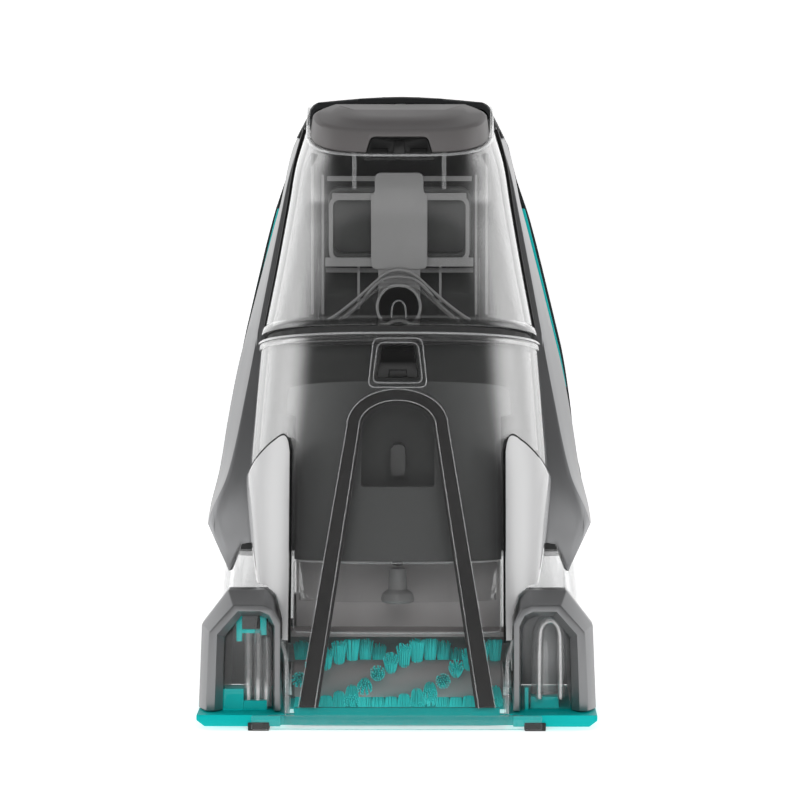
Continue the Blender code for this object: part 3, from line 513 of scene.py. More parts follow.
def front_line(name, outline, inset, radius, closed=True):
    """A thin bead along an outline of (x, z) points, lying on the column's front."""
    points = []
    ends = outline + outline[:1] if closed else outline
    for (x0, z0), (x1, z1) in zip(ends, ends[1:]):
        count = max(1, round(hypot(x1 - x0, z1 - z0) / 3.0))
        for k in range(count):
            t = k / count
            points.append(front_point(x0 + t * (x1 - x0), z0 + t * (z1 - z0), inset))
    points.append(front_point(*ends[-1], inset))
    return pipe(name, points, radius, 12, "POLY")


def column_sheet(name, low, high, outer, inner, rows, count):
    """A wall round the column's front between two heights and two insets from its skin."""
    turns = spread(0.0, pi, count)
    heights = spread(low, high, rows)
    grids = []
    for inset in (outer, inner):
        grids.append([[column_point(turn, z, inset) for turn in turns] for z in heights])
    return sheet(name, *grids)


CHEEK_TOP = through(
    (38.2, 95.5), (38.7, 98.6), (39.4, 100.3), (40.4, 100.9), (44.1, 98.6), (47.7, 95.2), (51.5, 90.3),
    (54.1, 85.5), (60.0, 72.0),
)


def cheek_outline():
    """Leaf shape of the cheek on the right-hand side, seen from the front."""
    upper = [(x, CHEEK_TOP(x)) for x in [38.2, 38.4, 38.7, 39.0] + spread(39.4, 60.0, 30)]
    return upper + [(60.0, 48.8), (46.3, 48.8), (42.4, 45.8), (40.2, 38.2), (40.2, 31.0), (38.2, 31.0)]


def button_outline(grow=0.0):
    """The release button seen from the front, or its frame when grown."""
    high, low = 132.4 + grow, 121.4 - grow
    return [(7.4 + grow, low), (5.6 + grow, high), (-5.6 - grow, high), (-7.4 - grow, low)]


def duct_cover():
    """Clear front cover with its openings, rim and beads."""
    cover = column_sheet("duct_cover_clear", 2, 128, 0.0, WALL, 70, 97)
    for side in (1, -1):
        gap = [(37.4, 29.5)] + [(x, CHEEK_TOP(x) + 0.6) for x in [37.4, 37.9, 38.5] + spread(39.2, 60.4, 30)]
        gap += [(60.4, 20.0), (40.2, 20.0), (40.2, 29.5)]
        cut(cover, prism("gap", flipped(side, gap), "v", -10, 130))
    cut(cover, prism("hole", rounded_outline(button_outline(0.7), 1.6), "v", -10, 60))
    finish(cover, "chassis", "smoky", ["duct_cover"])
    rim = column_sheet("cover_rim", 126.4, 128.6, -0.7, WALL + 0.6, 4, 97)
    finish(soften(rim, 0.5), "chassis", "smoky")
    arc = [column_point(turn, 129.0, -0.8) for turn in spread(0.15, pi - 0.15, 60)]
    finish(pipe("cover_rim_bead", arc, 0.42), "chassis", "clear_plastic_painted_highlight")
    for side, word in SIDES:
        path = []
        for z in spread(6, 31, 9):
            x, v, h = column_point(0.32, z)
            path.append((side * (x + 0.2), v - 0.3, h))
        finish(pipe("cover_bead_" + word, path, 0.7), "chassis", "clear_plastic_painted_highlight")


def button_frame():
    """Raised frame round the release button, following the cover's slope."""
    ring = column_sheet("button_frame", 100, 128, -1.1, WALL + 0.4, 40, 161)
    keep(ring, prism("outside", rounded_outline(button_outline(3.0), 3.0), "v", -10, 60))
    cut(ring, prism("inside", rounded_outline(button_outline(0.9), 1.6), "v", -10, 70))
    finish(soften(ring, 0.35, angle=50), "chassis", "smoky")
    for k, grow in enumerate((1.5, 3.0)):
        outline = rounded_outline(button_outline(grow), 2.4, 4)
        finish(front_line(f"button_bead_{k}", outline, -1.1, 0.2), "chassis", "clear_plastic_painted_highlight")
    front = FRONT_LEAN(120) - 0.5
    body = prism("release_key_cap", rounded_outline(button_outline(), 1.0), "v", front, front + 10)
    slope = prism("slope", [(front - 1, 126), (front - 1, 141), (front + 12, 141)], "x", -20, 20)
    dimple = [(-3.6, 118.0), (-3.0, 124.2), (3.0, 124.2), (3.6, 118.0)]
    cut(body, slope, prism("dimple", dimple, "v", front - 2, front + 0.8))
    finish(soften(body, 0.3), "release_key", "gloss_black", ["tank_release_button"])


def cheeks():
    """Leaf-shaped cheeks, each with a black strip along its inner edge that paints the shade on the cheek's
    inward side wall.
    """
    for side, word in SIDES:
        skin = column_sheet("cheek_skin_" + word, 27, 104, -1.2, WALL + 0.6, 60, 121)
        keep(skin, prism("edge", flipped(side, cheek_outline()), "v", -10, 130))
        finish(soften(skin, 0.5, 4, 50), "chassis", "cheek_silver", ["cheek_" + word])
        # painted shade: a gloss-black strip where the cheek's inward side wall lies in shade
        band_piece = column_sheet("cheek_edge_shade_" + word, 27, 101, 0.5, WALL + 0.4, 50, 161)
        outline = [(37.3, 30), (38.1, 30), (38.1, 95), (38.6, 98.4), (39.4, 100.4), (38.2, 99.4), (37.3, 96)]
        keep(band_piece, prism("strip", flipped(side, outline), "v", -10, 130))
        finish(band_piece, "chassis", "gloss_black")


def arch_outline(width, top, foot):
    """A round-headed arch whose legs splay to the foot."""
    points = [(foot, 8.0)]
    for turn in spread(0.0, pi, 41):
        points.append((width * cos(turn), 105.0 + (top - 105.0) * sin(turn)))
    return points + [(-foot, 8.0)]


def duct():
    """Arch-shaped gasket and the duct's back wall with its port."""
    band_piece = column_sheet("duct_gasket_arch", 7, 124, WALL + 0.3, WALL + DUCT_DEPTH - 0.4, 60, 121)
    band = arch_outline(17.6, 117.5, 34.2) + arch_outline(12.6, 113.0, 27.4)[::-1]
    keep(band_piece, prism("band", band, "v", -10, 80))
    finish(soften(band_piece, 0.8, 3, 50), "chassis", "gasket", ["duct_gasket"])
    # painted highlight: these whitish beads on the cover's face stand in for the highlight lines along the
    # gasket's edges
    for k, (width, top, foot) in enumerate(((17.8, 117.7, 34.4), (13.6, 113.9, 28.6))):
        outline = arch_outline(width, top, foot)
        finish(front_line(f"arch_bead_{k}", outline, -0.1, 0.17, False), "chassis", "clear_plastic_painted_highlight")
    wall = column_sheet("duct_wall", 56, 113, WALL + DUCT_DEPTH, WALL + DUCT_DEPTH + 2, 40, 81)
    for side in (1, -1):
        low, high = span(side, 36.8, 60)
        cut(wall, box("trim", (low, 0, 30), (high, 120, 106)))
    port = [(13, 83)]
    port += [(13 * cos(turn), 99 + 12 * sin(turn)) for turn in spread(0, pi, 31)]
    port.append((-13, 83))
    cut(wall, prism("port", rounded_outline(port, 1.0), "v", -10, 90))
    finish(soften(wall, 0.5, 3, 50), "chassis", "wall_grey", ["duct_back"])
    funnel = prism("port_room", [(-17, 78), (17, 78), (17, 114), (-17, 114)], "v", 56.5, 58)
    finish(funnel, "chassis", "charcoal")
    pipe_bar = prism("port_pipe", rounded(2.6, 5.6, 2.2, (0, 91)), "v", 47, 57)
    finish(pipe_bar, "chassis", "dark_grey")


# ---- recovery tank
def tank_ring(z, inset, rise=0.0):
    """Closed section of the recovery tank, flat at its rear."""
    rear = REAR_LEAN(z)
    ring = [column_point(turn, z, inset) for turn in spread(0.0, pi, COLUMN_POINTS)]
    flat = [(x, min(v, rear, rear - inset)) for x, v, _ in ring]
    return [(x, v, z + rise + (rear - v) * TILT(z)) for x, v in flat]


def recovery_tank():
    flange = [(132.0, -0.7), (132.4, -0.9), (134.2, -0.9), (134.8, -0.5), (135.3, 0.0)]
    walls = [(z, 0.0) for z in spread(136.0, TANK_TOP - 1.2, 40)]
    lip = [(TANK_TOP - 0.4, 0.15), (TANK_TOP, 0.5)]
    outside = [tank_ring(z, inset) for z, inset in flange + walls + lip]
    inside = [tank_ring(z, WALL) for z in spread(134.6, TANK_TOP, 40)]
    shell = loft("recovery_tank_shell", outside + inside[::-1])
    finish(shell, "dirty_tank", "smoky", ["recovery_tank"])


# rise above the tank's top and inset from its side, from the lid's foot to its crown
LID_RINGS = ((0.4, 1.5), (0.9, 1.2), (7.4, 2.2), (8.1, 2.8), (8.6, 4.0), (8.7, 8.6), (9.6, 10.4), (9.8, 18.0))


def lid():
    rings = []
    for rise, inset in LID_RINGS:
        ring = []
        for x, v, z in tank_ring(TANK_TOP, inset, rise=rise):
            corner = max(0.0, 1 - (REAR_LEAN(TANK_TOP) - v) / 18.0)
            ring.append((x * (1 - 0.33 * corner ** 1.6), v, z))
        rings.append(ring)
    body = loft("lid_shell", rings)
    notch = rounded_outline([(-15.2, 190), (-10.4, 206.2), (10.4, 206.2), (15.2, 190)], 2.0)
    cut(body, prism("notch", notch, "v", 68, 84))
    finish(soften(body, 0.3, 2, 50), "lid", "warm_grey", ["tank_lid"])
    plate = [(-13.0, 197.5), (-10.2, 205.4), (10.2, 205.4), (13.0, 197.5)]
    back = prism("latch_back", plate, "v", 81.5, 83.5)
    tongue = rounded_outline([(-2.4, 198.0), (-1.8, 204.6), (1.8, 204.6), (2.4, 198.0)], 0.8)
    join(back, prism("latch_tongue", tongue, "v", 78.5, 82))
    for low, high in ((-10.0, -4.2), (4.2, 10.0)):
        join(back, box("latch_hook", (low, 80, 198.6), (high, 82, 201.8)))
    finish(soften(back, 0.25, 2, 40), "lid", "gloss_black")


def tank_rim():
    """Clear rim of the recovery tank, which rises beside and behind the lid."""
    turns = spread(0.0, pi, COLUMN_POINTS)
    grids = []
    for inset in (-0.1, 0.9):
        grid = []
        for share in (0.0, 0.3, 0.7, 1.0):
            row = []
            for turn in turns:
                x, v, z = column_point(turn, TANK_TOP - 0.6, inset)
                lift = 7.6 * max(0.0, 1 - (sin(turn) / 0.22) ** 2) + 0.8
                row.append((x * (1 - 0.015 * share), v, z + share * lift))
            grid.append(row)
        grids.append(grid)
    finish(soften(sheet("tank_rim_clear", *grids), 0.25, 2, 40), "dirty_tank", "clear_plastic_painted_highlight")


def tank_seams():
    """Dark seam between the recovery tank and each side shell."""
    for side, word in SIDES:
        path = [(side * (column_half(z) + 0.35), REAR_LEAN(z) + 1.1, z) for z in spread(133, 208, 24)]
        finish(pipe("tank_seam_" + word, path, 0.8), "chassis", "gloss_black")


# z, half length, v and half height
LEDGES = ((190.6, 26.5, 93, 0.9), (184.6, 24.5, 84.2, 0.9), (160.4, 27.0, 84.2, 1.6), (157.0, 27.0, 93, 0.8))
# x, foot and head
POSTS = ((27.6, 141, 192), (14.5, 143, 159), (31.5, 141, 200))


def tank_frame():
    """Moulded ledges and frames on the wall behind the tank's clear front; their light grey paints the
    highlight lines along them.
    """
    bits = []
    for z, half, v, height in LEDGES:
        bits.append(prism("ledge", rounded(half, height, 0.3, (0, z)), "v", v, v + 3))
    frame_outline = rounded(25.6, 12.0, 3.4, (0, 172.4))
    ring = prism("frame", frame_outline, "v", 84.4, 87.0)
    cut(ring, prism("room", rounded(24.2, 10.6, 2.4, (0, 172.4)), "v", 80, 100))
    bits.append(ring)
    for side in (1, -1):
        for x, foot, head in POSTS:
            low, high = span(side, x, x + 0.9)
            bits.append(box("post", (low, 90, foot), (high, 93, head)))
    finish(gather("tank_mouldings", bits), "dirty_tank", "ledge_grey_painted_highlight")


def riser():
    """Flat riser duct in the middle of the tank, on its stem."""
    outline = [(-10.2, 158), (-10.2, 185), (-8.8, 186), (-8.8, 193)]
    outline += flipped(-1, outline[::-1])
    duct_box = prism("riser_body", rounded_outline(outline, 2.4), "v", 79.0, 86.6)
    stem = rounded_outline([(-7.6, 134.4), (-7.6, 160), (7.6, 160), (7.6, 134.4)], 1.0)
    join(duct_box, prism("riser_stem", stem, "v", 79.6, 85.4))
    finish(soften(duct_box, 0.7), "dirty_tank", "duct_grey", ["riser_duct"])


def float_cage():
    cage = prism("float_cage_box", rounded(26, 13, 4, (0, 174.5)), "v", 87.2, 99.2)
    cut(cage, prism("room", rounded(24, 11, 3, (0, 174.5)), "v", 84, 97.4))
    finish(soften(cage, 0.4), "dirty_tank", "charcoal", ["float_cage"])


def baffle():
    """Tent-shaped baffle in the foot of the tank, with two arches behind its ridge."""
    tent = [(-21, 141), (-6.5, 154), (6.5, 154), (21, 141)]
    tent += [(19, 141), (5.7, 152.2), (-5.7, 152.2), (-19, 141)]
    tent_body = prism("baffle_tent", tent, "v", 60, 75)
    finish(soften(tent_body, 0.3), "dirty_tank", "smoky", ["baffle"])
    for k, (foot, head) in enumerate(((26.0, 158.0), (22.0, 155.4))):
        left = [(-foot, 139.5), (-foot + 6, 143), (-9, 153), (-4, head)]
        path = [(x, 77.0 - 2.0 * k, z) for x, z in left + flipped(-1, left[::-1])]
        finish(pipe(f"tank_arch_{k}", path, 0.55), "dirty_tank", "ledge_grey_painted_highlight")


def tank_boss():
    """Round boss low in the tank, with its ring and a small arch."""
    centre = (0, 145)
    boss = turned("tank_boss", "v", centre, [(66, 7.2), (66.6, 7.6), (76, 7.6), (76.6, 7.2)])
    finish(boss, "dirty_tank", "wall_grey")
    ring = turned("tank_boss_ring", "v", centre, [(65.6, 8.3), (66.8, 8.3), (66.8, 7.3), (65.6, 7.3)])
    finish(ring, "dirty_tank", "ledge_grey_painted_highlight")
    left = [(-2.6, 141), (-2.6, 145), (-1.6, 147.4)]
    path = [(x, 64.8, z) for x, z in left + flipped(-1, left[::-1])]
    finish(pipe("tank_boss_arch", path, 0.35), "dirty_tank", "clear_plastic_painted_highlight")


def tank_posts():
    for side, word in SIDES:
        post = prism("tank_post_" + word, rounded(0.9, 0.9, 0.5, (28.5 * side, 76)), "z", 139, 162)
        finish(post, "dirty_tank", "smoky")
        rib = prism("tank_rib_" + word, rounded(0.8, 3.0, 0.6, (16.3 * side, 84)), "z", 187, 203)
        finish(rib, "dirty_tank", "clear_plastic_painted_highlight")


def tank_insides():
    tank_frame()
    riser()
    float_cage()
    baffle()
    tank_boss()
    tank_posts()


# ---- main body
# half widths by height, at the sides and at the ridge of each side shell
SIDE = through(
    (50, 64.0), (65, 70.3), (69, 69.8), (84, 66.2), (101, 63.6), (120, 60.1), (132, 57.2), (173, 46.9),
    (181, 44.8), (195, 42.1), (202, 40.2), (210, 36.1), (219, 31.3),
)
CREASE = through(
    (50, 63.5), (65, 69.6), (68, 69.0), (83, 62.6), (112, 56.3), (131, 52.7), (147, 49.8), (176, 44.3),
    (193, 40.8), (219, 32.0),
)
# by v: how the housing narrows, and the height of its roof
REARWARD = through((180, 1.0), (260, 0.93), (310, 0.78), (338, 0.55), (347, 0.3))
ROOF = through(
    (126, 220.6), (150, 219.6), (164, 215.0), (173, 204.0), (180, 170.0), (190, 143.0), (215, 134.0),
    (270, 129.0), (310, 119.0), (336, 102.0), (347, 84.0),
)
# by height: how far the housing stands out past the shells' half width
BULGE = through((60, 2.4), (172, 2.4), (190, 0.3))
# (v, z) points down the rear edge of a side shell
SHELL_REAR = [(216, 40), (205, 66), (172, 130), (142, 196), (138, 230)]


def body_half(v, z):
    """Half width of the housing."""
    return SIDE(z) * REARWARD(v) + BULGE(z)


# columns of points across a side shell: the share of the face each lies at, and the height of its foot
SHELL_FRONT = (
    (0.0, 60.5), (0.18, 60.2), (0.36, 59.4), (0.5, 54.6), (0.62, 50.4), (0.66, 49.8), (0.72, 52.4),
    (0.86, 59.0),
)
SHELL_SIDE = ((0.0, 65.5), (0.35, 65.3), (0.7, 65.1), (1.0, 64.5))


def shell_plan(z, inset):
    """Right-hand plan section of a side shell at height z, from the column's edge to the rear."""
    z = 57.0 + 3.0 * log1p(exp((z - 57.0) / 3.0))
    edge = column_half(z) - 0.9
    start = REAR_LEAN(z) + 0.9
    ridge, side = CREASE(z), SIDE(z)
    knee = start + 0.3 * (ridge - edge) + 0.025 * (ridge - edge) ** 2
    turn = knee + 16.0
    near = (edge, start + inset)
    crease = (ridge - 0.6 * inset, knee + inset)
    far = (side - inset, turn)
    line = []
    for (x0, v0), (x1, v1), columns in ((near, crease, SHELL_FRONT), (crease, far, SHELL_SIDE)):
        line += [(x0 + t * (x1 - x0), v0 + t * (v1 - v0)) for t, _ in columns]
    return line + [(side - inset, v) for v in (max(turn + 12, 110), 150, 190, 225)]


def shell_grid(side, inset):
    """Points over one face of a side shell, whose foot follows the floors."""
    floors = [floor for _, floor in SHELL_FRONT + SHELL_SIDE] + [60.5, 57.5, 57.0, 57.0]
    grid = []
    for share in spread(0.0, 1.0, 72):
        row = []
        for k, floor in enumerate(floors):
            z = floor + (SHELL_TOP - floor) * share
            a, v = shell_plan(z, inset)[k]
            row.append((side * a, v, z))
        grid.append(row)
    return grid


def side_shell(side, word):
    shell = sheet("side_shell_skin_" + word, shell_grid(side, 0.0), shell_grid(side, SHELL_WALL))
    outline = [(40, 30)] + SHELL_REAR + [(40, 230)]
    keep(shell, prism("edge", outline, "x", -ASIDE, ASIDE))
    finish(soften(shell, 0.6, 3, 16), "chassis", "silver", ["side_shell_" + word], 40)


def stripe_grid(side, inset):
    heights = spread(108, 178, 40)
    return [[(side * (SIDE(z) + 1.35 - inset), v, z) for v in (130, 215)] for z in heights]


def stripe(side, word):
    """Thin band along the rear edge of a side shell."""
    strip = sheet("stripe_skin_" + word, stripe_grid(side, 0.0), stripe_grid(side, SHELL_WALL + 0.55))
    edge = SHELL_REAR[1:4]
    band = [(v + 0.4, z) for v, z in edge] + [(v + 3.6, z) for v, z in edge[::-1]]
    keep(strip, prism("band", band, "x", -ASIDE, ASIDE))
    finish(soften(strip, 0.3, 2), "chassis", "teal", ["stripe_" + word])


def body_section(v, inset):
    """Right half of the housing's section, from its foot to the middle of its roof."""
    roof = ROOF(v + 1.6 * inset) - inset
    knee = roof - 6.0
    points = [(body_half(v, z) - inset, z) for z in spread(57.6, knee, 14)]
    top = points[-1][0]
    for t in spread(0.12, 1.0, 8):
        turn = t * pi / 2
        points.append(((top - 4.4) + 4.4 * cos(turn) ** 0.9, knee + 4.0 * sin(turn) ** 0.9))
    points += [((top - 4.4) * (1 - t), roof - 2.0 * (1 - t) ** 1.6) for t in spread(0.12, 1.0, 9)]
    return points


def full_section(v, inset):
    half = body_section(v, inset)
    return [(x, v, z) for x, z in half] + [(-x, v, z) for x, z in half[-2::-1]]


HANDLE_PATH = [
    # v, z, turn of the section in degrees, half width, half thickness
    (158, 205, 0, 17, 11),
    (178, 203.5, 0, 15, 12),
    (205, 203, 0, 14, 13),
    (250, 204, 0, 14, 13.5),
    (290, 199, -18, 14, 13),
    (314, 184, -45, 14.5, 12),
    (327, 160, -68, 15, 11.5),
    (331, 132, -85, 16, 11.5),
    (328, 104, -95, 16, 12),
]


def handle_rings(grow=0.0, first=0.0, last=8.0, steps=61):
    """Sections along the handle between two places on its path."""
    tracks = [through(*[(k, row[i]) for k, row in enumerate(HANDLE_PATH)]) for i in range(5)]
    rings = []
    for k in spread(first, last, steps):
        v, z, lean, wide, thick = [track(k) for track in tracks]
        turn = radians(lean)
        ring = []
        for a, b in circle(1.0, HANDLE_POINTS):
            x = copysign(abs(a) ** 0.8, a) * (wide + grow)
            h = copysign(abs(b) ** 0.8, b) * (thick + grow)
            ring.append((x, v - h * sin(turn), z + h * cos(turn)))
        rings.append(ring)
    return rings


def fused(obj, size, turns):
    """Melts joined solids into one smooth skin."""
    step = obj.modifiers.new("melt", "REMESH")
    step.mode = "VOXEL"
    step.voxel_size = size
    smooth = obj.modifiers.new("even", "SMOOTH")
    smooth.factor = 0.5
    smooth.iterations = turns
    return bake(obj)


def rear_housing():
    stations = [126.8] + spread(130, 340, 60) + [343, 345, 346]
    body = loft("housing_shell", [full_section(v, 0.0) for v in stations])
    join(body, loft("loop", handle_rings()))
    fused(body, 1.4, 5)
    hollow = [full_section(v, SHELL_WALL) for v in [120] + spread(130, 340, 60) + [343.4]]
    for ring in hollow:
        for end in (0, -1):
            ring[end] = (ring[end][0], ring[end][1], 50.0)
    room = loft("hollow", hollow)
    cut(room, loft("loop_core", handle_rings(-0.4)))
    cut(body, room)
    front = [(100, 40)] + [(v + 4.0, z) for v, z in SHELL_REAR[:4]] + [(142, 205), (100, 205)]
    cut(body, prism("front", front, "x", -ASIDE, ASIDE))
    holes = [
        rod("button_hole", "z", (0, 146), 8.5, 190, 230),
        rod("lamp_hole", "z", (0, 134), 2.4, 200, 230),
        box("trigger_room", (-7.4, 178, 180), (7.4, 206, 198)),
        box("port_hole", (-9.4, 338, 72), (9.4, 352, 86)),
    ]
    for side in (1, -1):
        for k in range(7):
            v = 232 + 7 * k
            slot = rounded_outline([(v, 80), (v + 3, 80), (v + 9, 104), (v + 6, 104)], 1.4)
            holes.append(prism("vent", slot, "x", *span(side, 40, 80)))
    cut(body, gather("holes", holes))
    finish(body, "chassis", "black", ["rear_housing"], 40)


def handle_grip():
    """Rubber sleeve on the handle, open along its underside."""
    cover = loft("grip_skin", handle_rings(1.4, 1.95, 5.2, 50))
    cut(cover, loft("core", handle_rings(0.35, 1.6, 5.6, 50)))
    under = [(200, 150), (200, 199), (250, 200), (286, 196), (312, 178), (320, 150)]
    cut(cover, prism("under", under, "x", -30, 30))
    finish(soften(cover, 0.5, 2, 50), "chassis", "rubber", ["handle_grip"])


# ---- nozzle
SHOULDER = [
    (SHOULDER_IN, 6.0), (70.0, 6.0), (68.8, 35.5), (59.4, 47.8), (46.5, 47.8), (43.0, 45.2),
    (SHOULDER_IN, 38.0),
]
SHOULDER_FACE = [
    (SHOULDER_IN, 6.0), (67.0, 6.0), (65.8, 33.8), (57.2, 43.4), (47.0, 43.4), (43.6, 42.0),
    (SHOULDER_IN, 37.0),
]
SHOULDER_REAR = [
    (SHOULDER_IN, 6.0), (70.0, 6.0), (68.9, 30.5), (60.0, 41.2), (46.8, 41.4), (43.2, 39.8),
    (SHOULDER_IN, 35.0),
]
WINDOW = [(42.8, 5.0), (64.0, 5.0), (63.0, 33.0), (55.8, 41.2), (47.6, 41.2), (44.6, 39.8), (42.8, 36.0)]
WINDOW_DEEP = [(43.6, 5.0), (61.4, 5.0), (60.6, 31.6), (54.6, 39.0), (48.2, 39.0), (45.6, 38.0), (43.6, 35.0)]


def side_loft(name, side, faces):
    """A solid through outlines in (x, z), each at its own v, on one side of the middle."""
    return loft(name, [[(side * a, v, b) for a, b in line] for v, line in faces])


def shoulders():
    faces = ((9.0, SHOULDER_FACE), (18.0, SHOULDER), (26.0, SHOULDER), (BASE_BACK, SHOULDER_REAR))
    funnel = ((7.0, WINDOW), (9.0, WINDOW), (14.0, WINDOW_DEEP), (BASE_BACK - 2.4, WINDOW_DEEP))
    for side, word in SIDES:
        body = side_loft("shoulder_skin_" + word, side, faces)
        soften(body, 0.45, 3, 12)
        cut(body, side_loft("room", side, funnel))
        cut(body, rod("brush_hole", "x", (BRUSH_V, BRUSH_Z), 4.4, *span(side, 30, 44)))
        finish(body, "chassis", "silver", ["shoulder_" + word], 25)
        inner = [(a + (0.3 if a < 50 else -0.3), b + (1.2 if b < 20 else -0.3)) for a, b in WINDOW_DEEP]
        pane = prism("window_pane_" + word, rounded_outline(flipped(side, inner), 1.2), "v", 14.4, 15.8)
        finish(soften(pane, 0.3, 2), "chassis", "glass", ["window_" + word])


def nozzle_base():
    """Teal base plate, its mouth and crossbar, and the fittings behind the side windows."""
    outline = [(-67.2, BASE_LOW), (67.2, BASE_LOW), (BASE_HALF, 3.6), (BASE_HALF, BASE_HIGH)]
    outline += [(-BASE_HALF, BASE_HIGH), (-BASE_HALF, 3.6)]
    plate = prism("base_skin", outline, "v", 3.0, BASE_BACK)
    cut(plate, box("mouth", (-38.6, 8.4, -1), (38.6, BRUSH_V + SHROUD_RADIUS - 2.2, 10)))
    cut(plate, box("lip_room", (-40.6, -1, -1), (40.6, 6.4, 10)))
    join(plate, box("crossbar", (-36.0, 6.4, 2.0), (36.0, 8.8, 7.6)))
    join(plate, box("belt_block", (-61.4, 15, 5.0), (-54.0, 26, 13.0)))
    join(plate, box("belt_foot", (-55.0, 15.6, 5.0), (-45.8, 19.4, 8.8)))
    join(plate, box("valve_post", (44.8, 16, 5.0), (46.2, 20, 13.5)))
    join(plate, box("valve_seat", (47, 22, 5.0), (57, 36, 9.4)))
    finish(soften(plate, 0.35, 2), "chassis", "teal", ["base_plate"])


def lip_and_pads():
    """Clear bar along the front edge and the two rubber pads under it."""
    lip = prism("lip_bar", [(-0.5, 0.8), (2.7, 0.8), (2.7, 5.6), (0.2, 5.6), (-0.5, 4.6)], "x", -50.6, 50.6)
    finish(soften(lip, 0.4), "chassis", "glass")
    for side, word in SIDES:
        low, high = span(side, 44.5, 52)
        pad = box("pad_skin_" + word, (low, 2.2, 0.0), (high, 20, 2.9))
        finish(soften(pad, 0.4), "chassis", "rubber", ["front_pad_" + word])


def brush():
    """Brush core and its spiral rows of bristle bundles."""
    steps = [(-53.0, 2.9), (-BRUSH_HALF, 2.9)]
    steps += [(-BRUSH_HALF, CORE_RADIUS - 0.6), (-BRUSH_HALF + 0.6, CORE_RADIUS)]
    steps += [(-x, r) for x, r in steps[:0:-1]] + [(43.5, 2.9)]
    core = turned("brush_core", "x", (BRUSH_V, BRUSH_Z), steps)
    finish(core, "brush", "chamber_grey")
    dice = random.Random(SEED)
    strands = []
    for row in range(BRUSH_ROWS):
        for x in [TUFT_PITCH * (k - (TUFTS - 1) / 2) for k in range(TUFTS)]:
            angle = 2 * pi * ((x - BRUSH_START) / BRUSH_LEAD + row / BRUSH_ROWS)
            strands += tuft(x, angle, dice)
    points, faces = [], []
    for low_ring, high_ring in strands:
        low = len(points)
        high = low + STRAND_SIDES
        points += low_ring + high_ring
        for k in range(STRAND_SIDES):
            n = (k + 1) % STRAND_SIDES
            faces.append((low + k, low + n, high + n, high + k))
        faces.append(tuple(range(high, high + STRAND_SIDES)))
        faces.append(tuple(range(low, high)))
    hair = new_object("brush_bristles", points, faces)
    # painted light: the bristles' brighter teal stands in for light on a brush that lies in shade
    finish(hair, "brush", "bristle", ["brush_roll"])


def tuft(x, angle, dice):
    """Bristles of one bundle, each a tapering strand from the core to the tip circle."""
    out = Vector((0, -cos(angle), sin(angle)))
    across = Vector((0, sin(angle), cos(angle)))
    along = Vector((1, 0, 0))
    centre = Vector((x, BRUSH_V, BRUSH_Z))
    strands = []
    for ring, count in ((0.0, 1), (0.34, 6), (0.67, 12), (1.0, 17)):
        for k in range(count):
            turn = 2 * pi * (k + 0.5 * dice.random()) / count
            a, b = cos(turn) * ring, sin(turn) * ring
            far = BRUSH_RADIUS + dice.uniform(-0.45, 0.15)
            root = centre + out * (CORE_RADIUS - 0.5) + (along * a + across * b) * TUFT_ROOT
            tip = centre + out * far + (along * (a + dice.uniform(-0.05, 0.05)) + across * b) * TUFT_TIP
            rings = []
            for at, radius in ((root, 0.2), (tip, 0.24)):
                rings.append([tuple(at + (along * p + across * q)) for p, q in circle(radius, STRAND_SIDES)])
            strands.append(rings)
    return strands


def nozzle_insides():
    """Spray nozzle and the chamber wall behind the cover."""
    profile = [(41.6, 4.2), (42.0, 5.4), (43.0, 6.0), (45.2, 5.4), (46.6, 3.4), (54.0, 3.0)]
    finish(turned("nozzle_bell", "z", (0, 31), profile), "chassis", "duct_grey", ["spray_nozzle"])
    # the wall's near-white grey is painted light: the wall itself sits in shade
    wall = prism("chamber_back", rounded(36.6, 20.4, 1.0, (0, 36.6)), "v", 49.4, 51.0)
    finish(soften(wall, 0.3, 2), "chassis", "chamber_wall_painted_light")
    frame_line = rounded_outline([(-36.4, 33.6), (36.4, 33.6), (36.4, 57.6), (-36.4, 57.6)], 1.2, 3)
    finish(front_line("chamber_frame", frame_line, 3.0, 0.3), "chassis", "clear_plastic_painted_highlight")


def window_fittings():
    """Filter dome and clear tubes behind the two side windows, with a hose clip."""
    profile = [(9.8, 4.6), (28.0, 4.6), (32.0, 4.2), (35.2, 3.0), (37.2, 1.4), (38.0, 0.4)]
    finish(turned("filter_dome", "z", (52, 29), profile), "chassis", "clear_plastic_painted_highlight", ["spray_filter"])
    loop = [(50, 9), (50, 30), (50.4, 35.2), (53.8, 37.4), (57.2, 35.2), (57.6, 30), (57.6, 9)]
    finish(pipe("spray_loop", [(x, 20, z) for x, z in loop], 1.25), "chassis", "crystal")
    clip = box("hose_clip", (-56.6, 17, 29.6), (-54.6, 19, 39.4))
    join(clip, box("arm", (-48.2, 17, 31.8), (-46.0, 19, 39.4)))
    join(clip, box("link", (-56.0, 17.3, 32.4), (-47.0, 18.7, 33.8)))
    finish(soften(clip, 0.3, 2), "chassis", "teal")
    for k, (x, v, top) in enumerate(((-49.0, 17.5, 34.0), (-52.5, 18.5, 33.0), (-46.0, 18.5, 31.0))):
        profile = [(6.5, 1.5), (top - 1, 1.5), (top, 0.9)]
        finish(turned(f"guide_tube_{k}", "z", (x, v), profile, 24), "chassis", "crystal")


# ---- clean-water tank
def tank_outline(shrink, z):
    """Plan outline of the clean-water tank, which tapers to the rear."""
    half = (66.0 if z < 40 else 64.0) - shrink
    front, rear = 88.0 + shrink, 336.0 - shrink
    right = [(half - 4, front), (half, front + 10), (half, 220.0), (half - 8, 290.0)]
    right += [(half - 26, rear - 4), (half - 32, rear)]
    return rounded_outline(right + [(-x, v) for x, v in right[::-1]], 9.0)


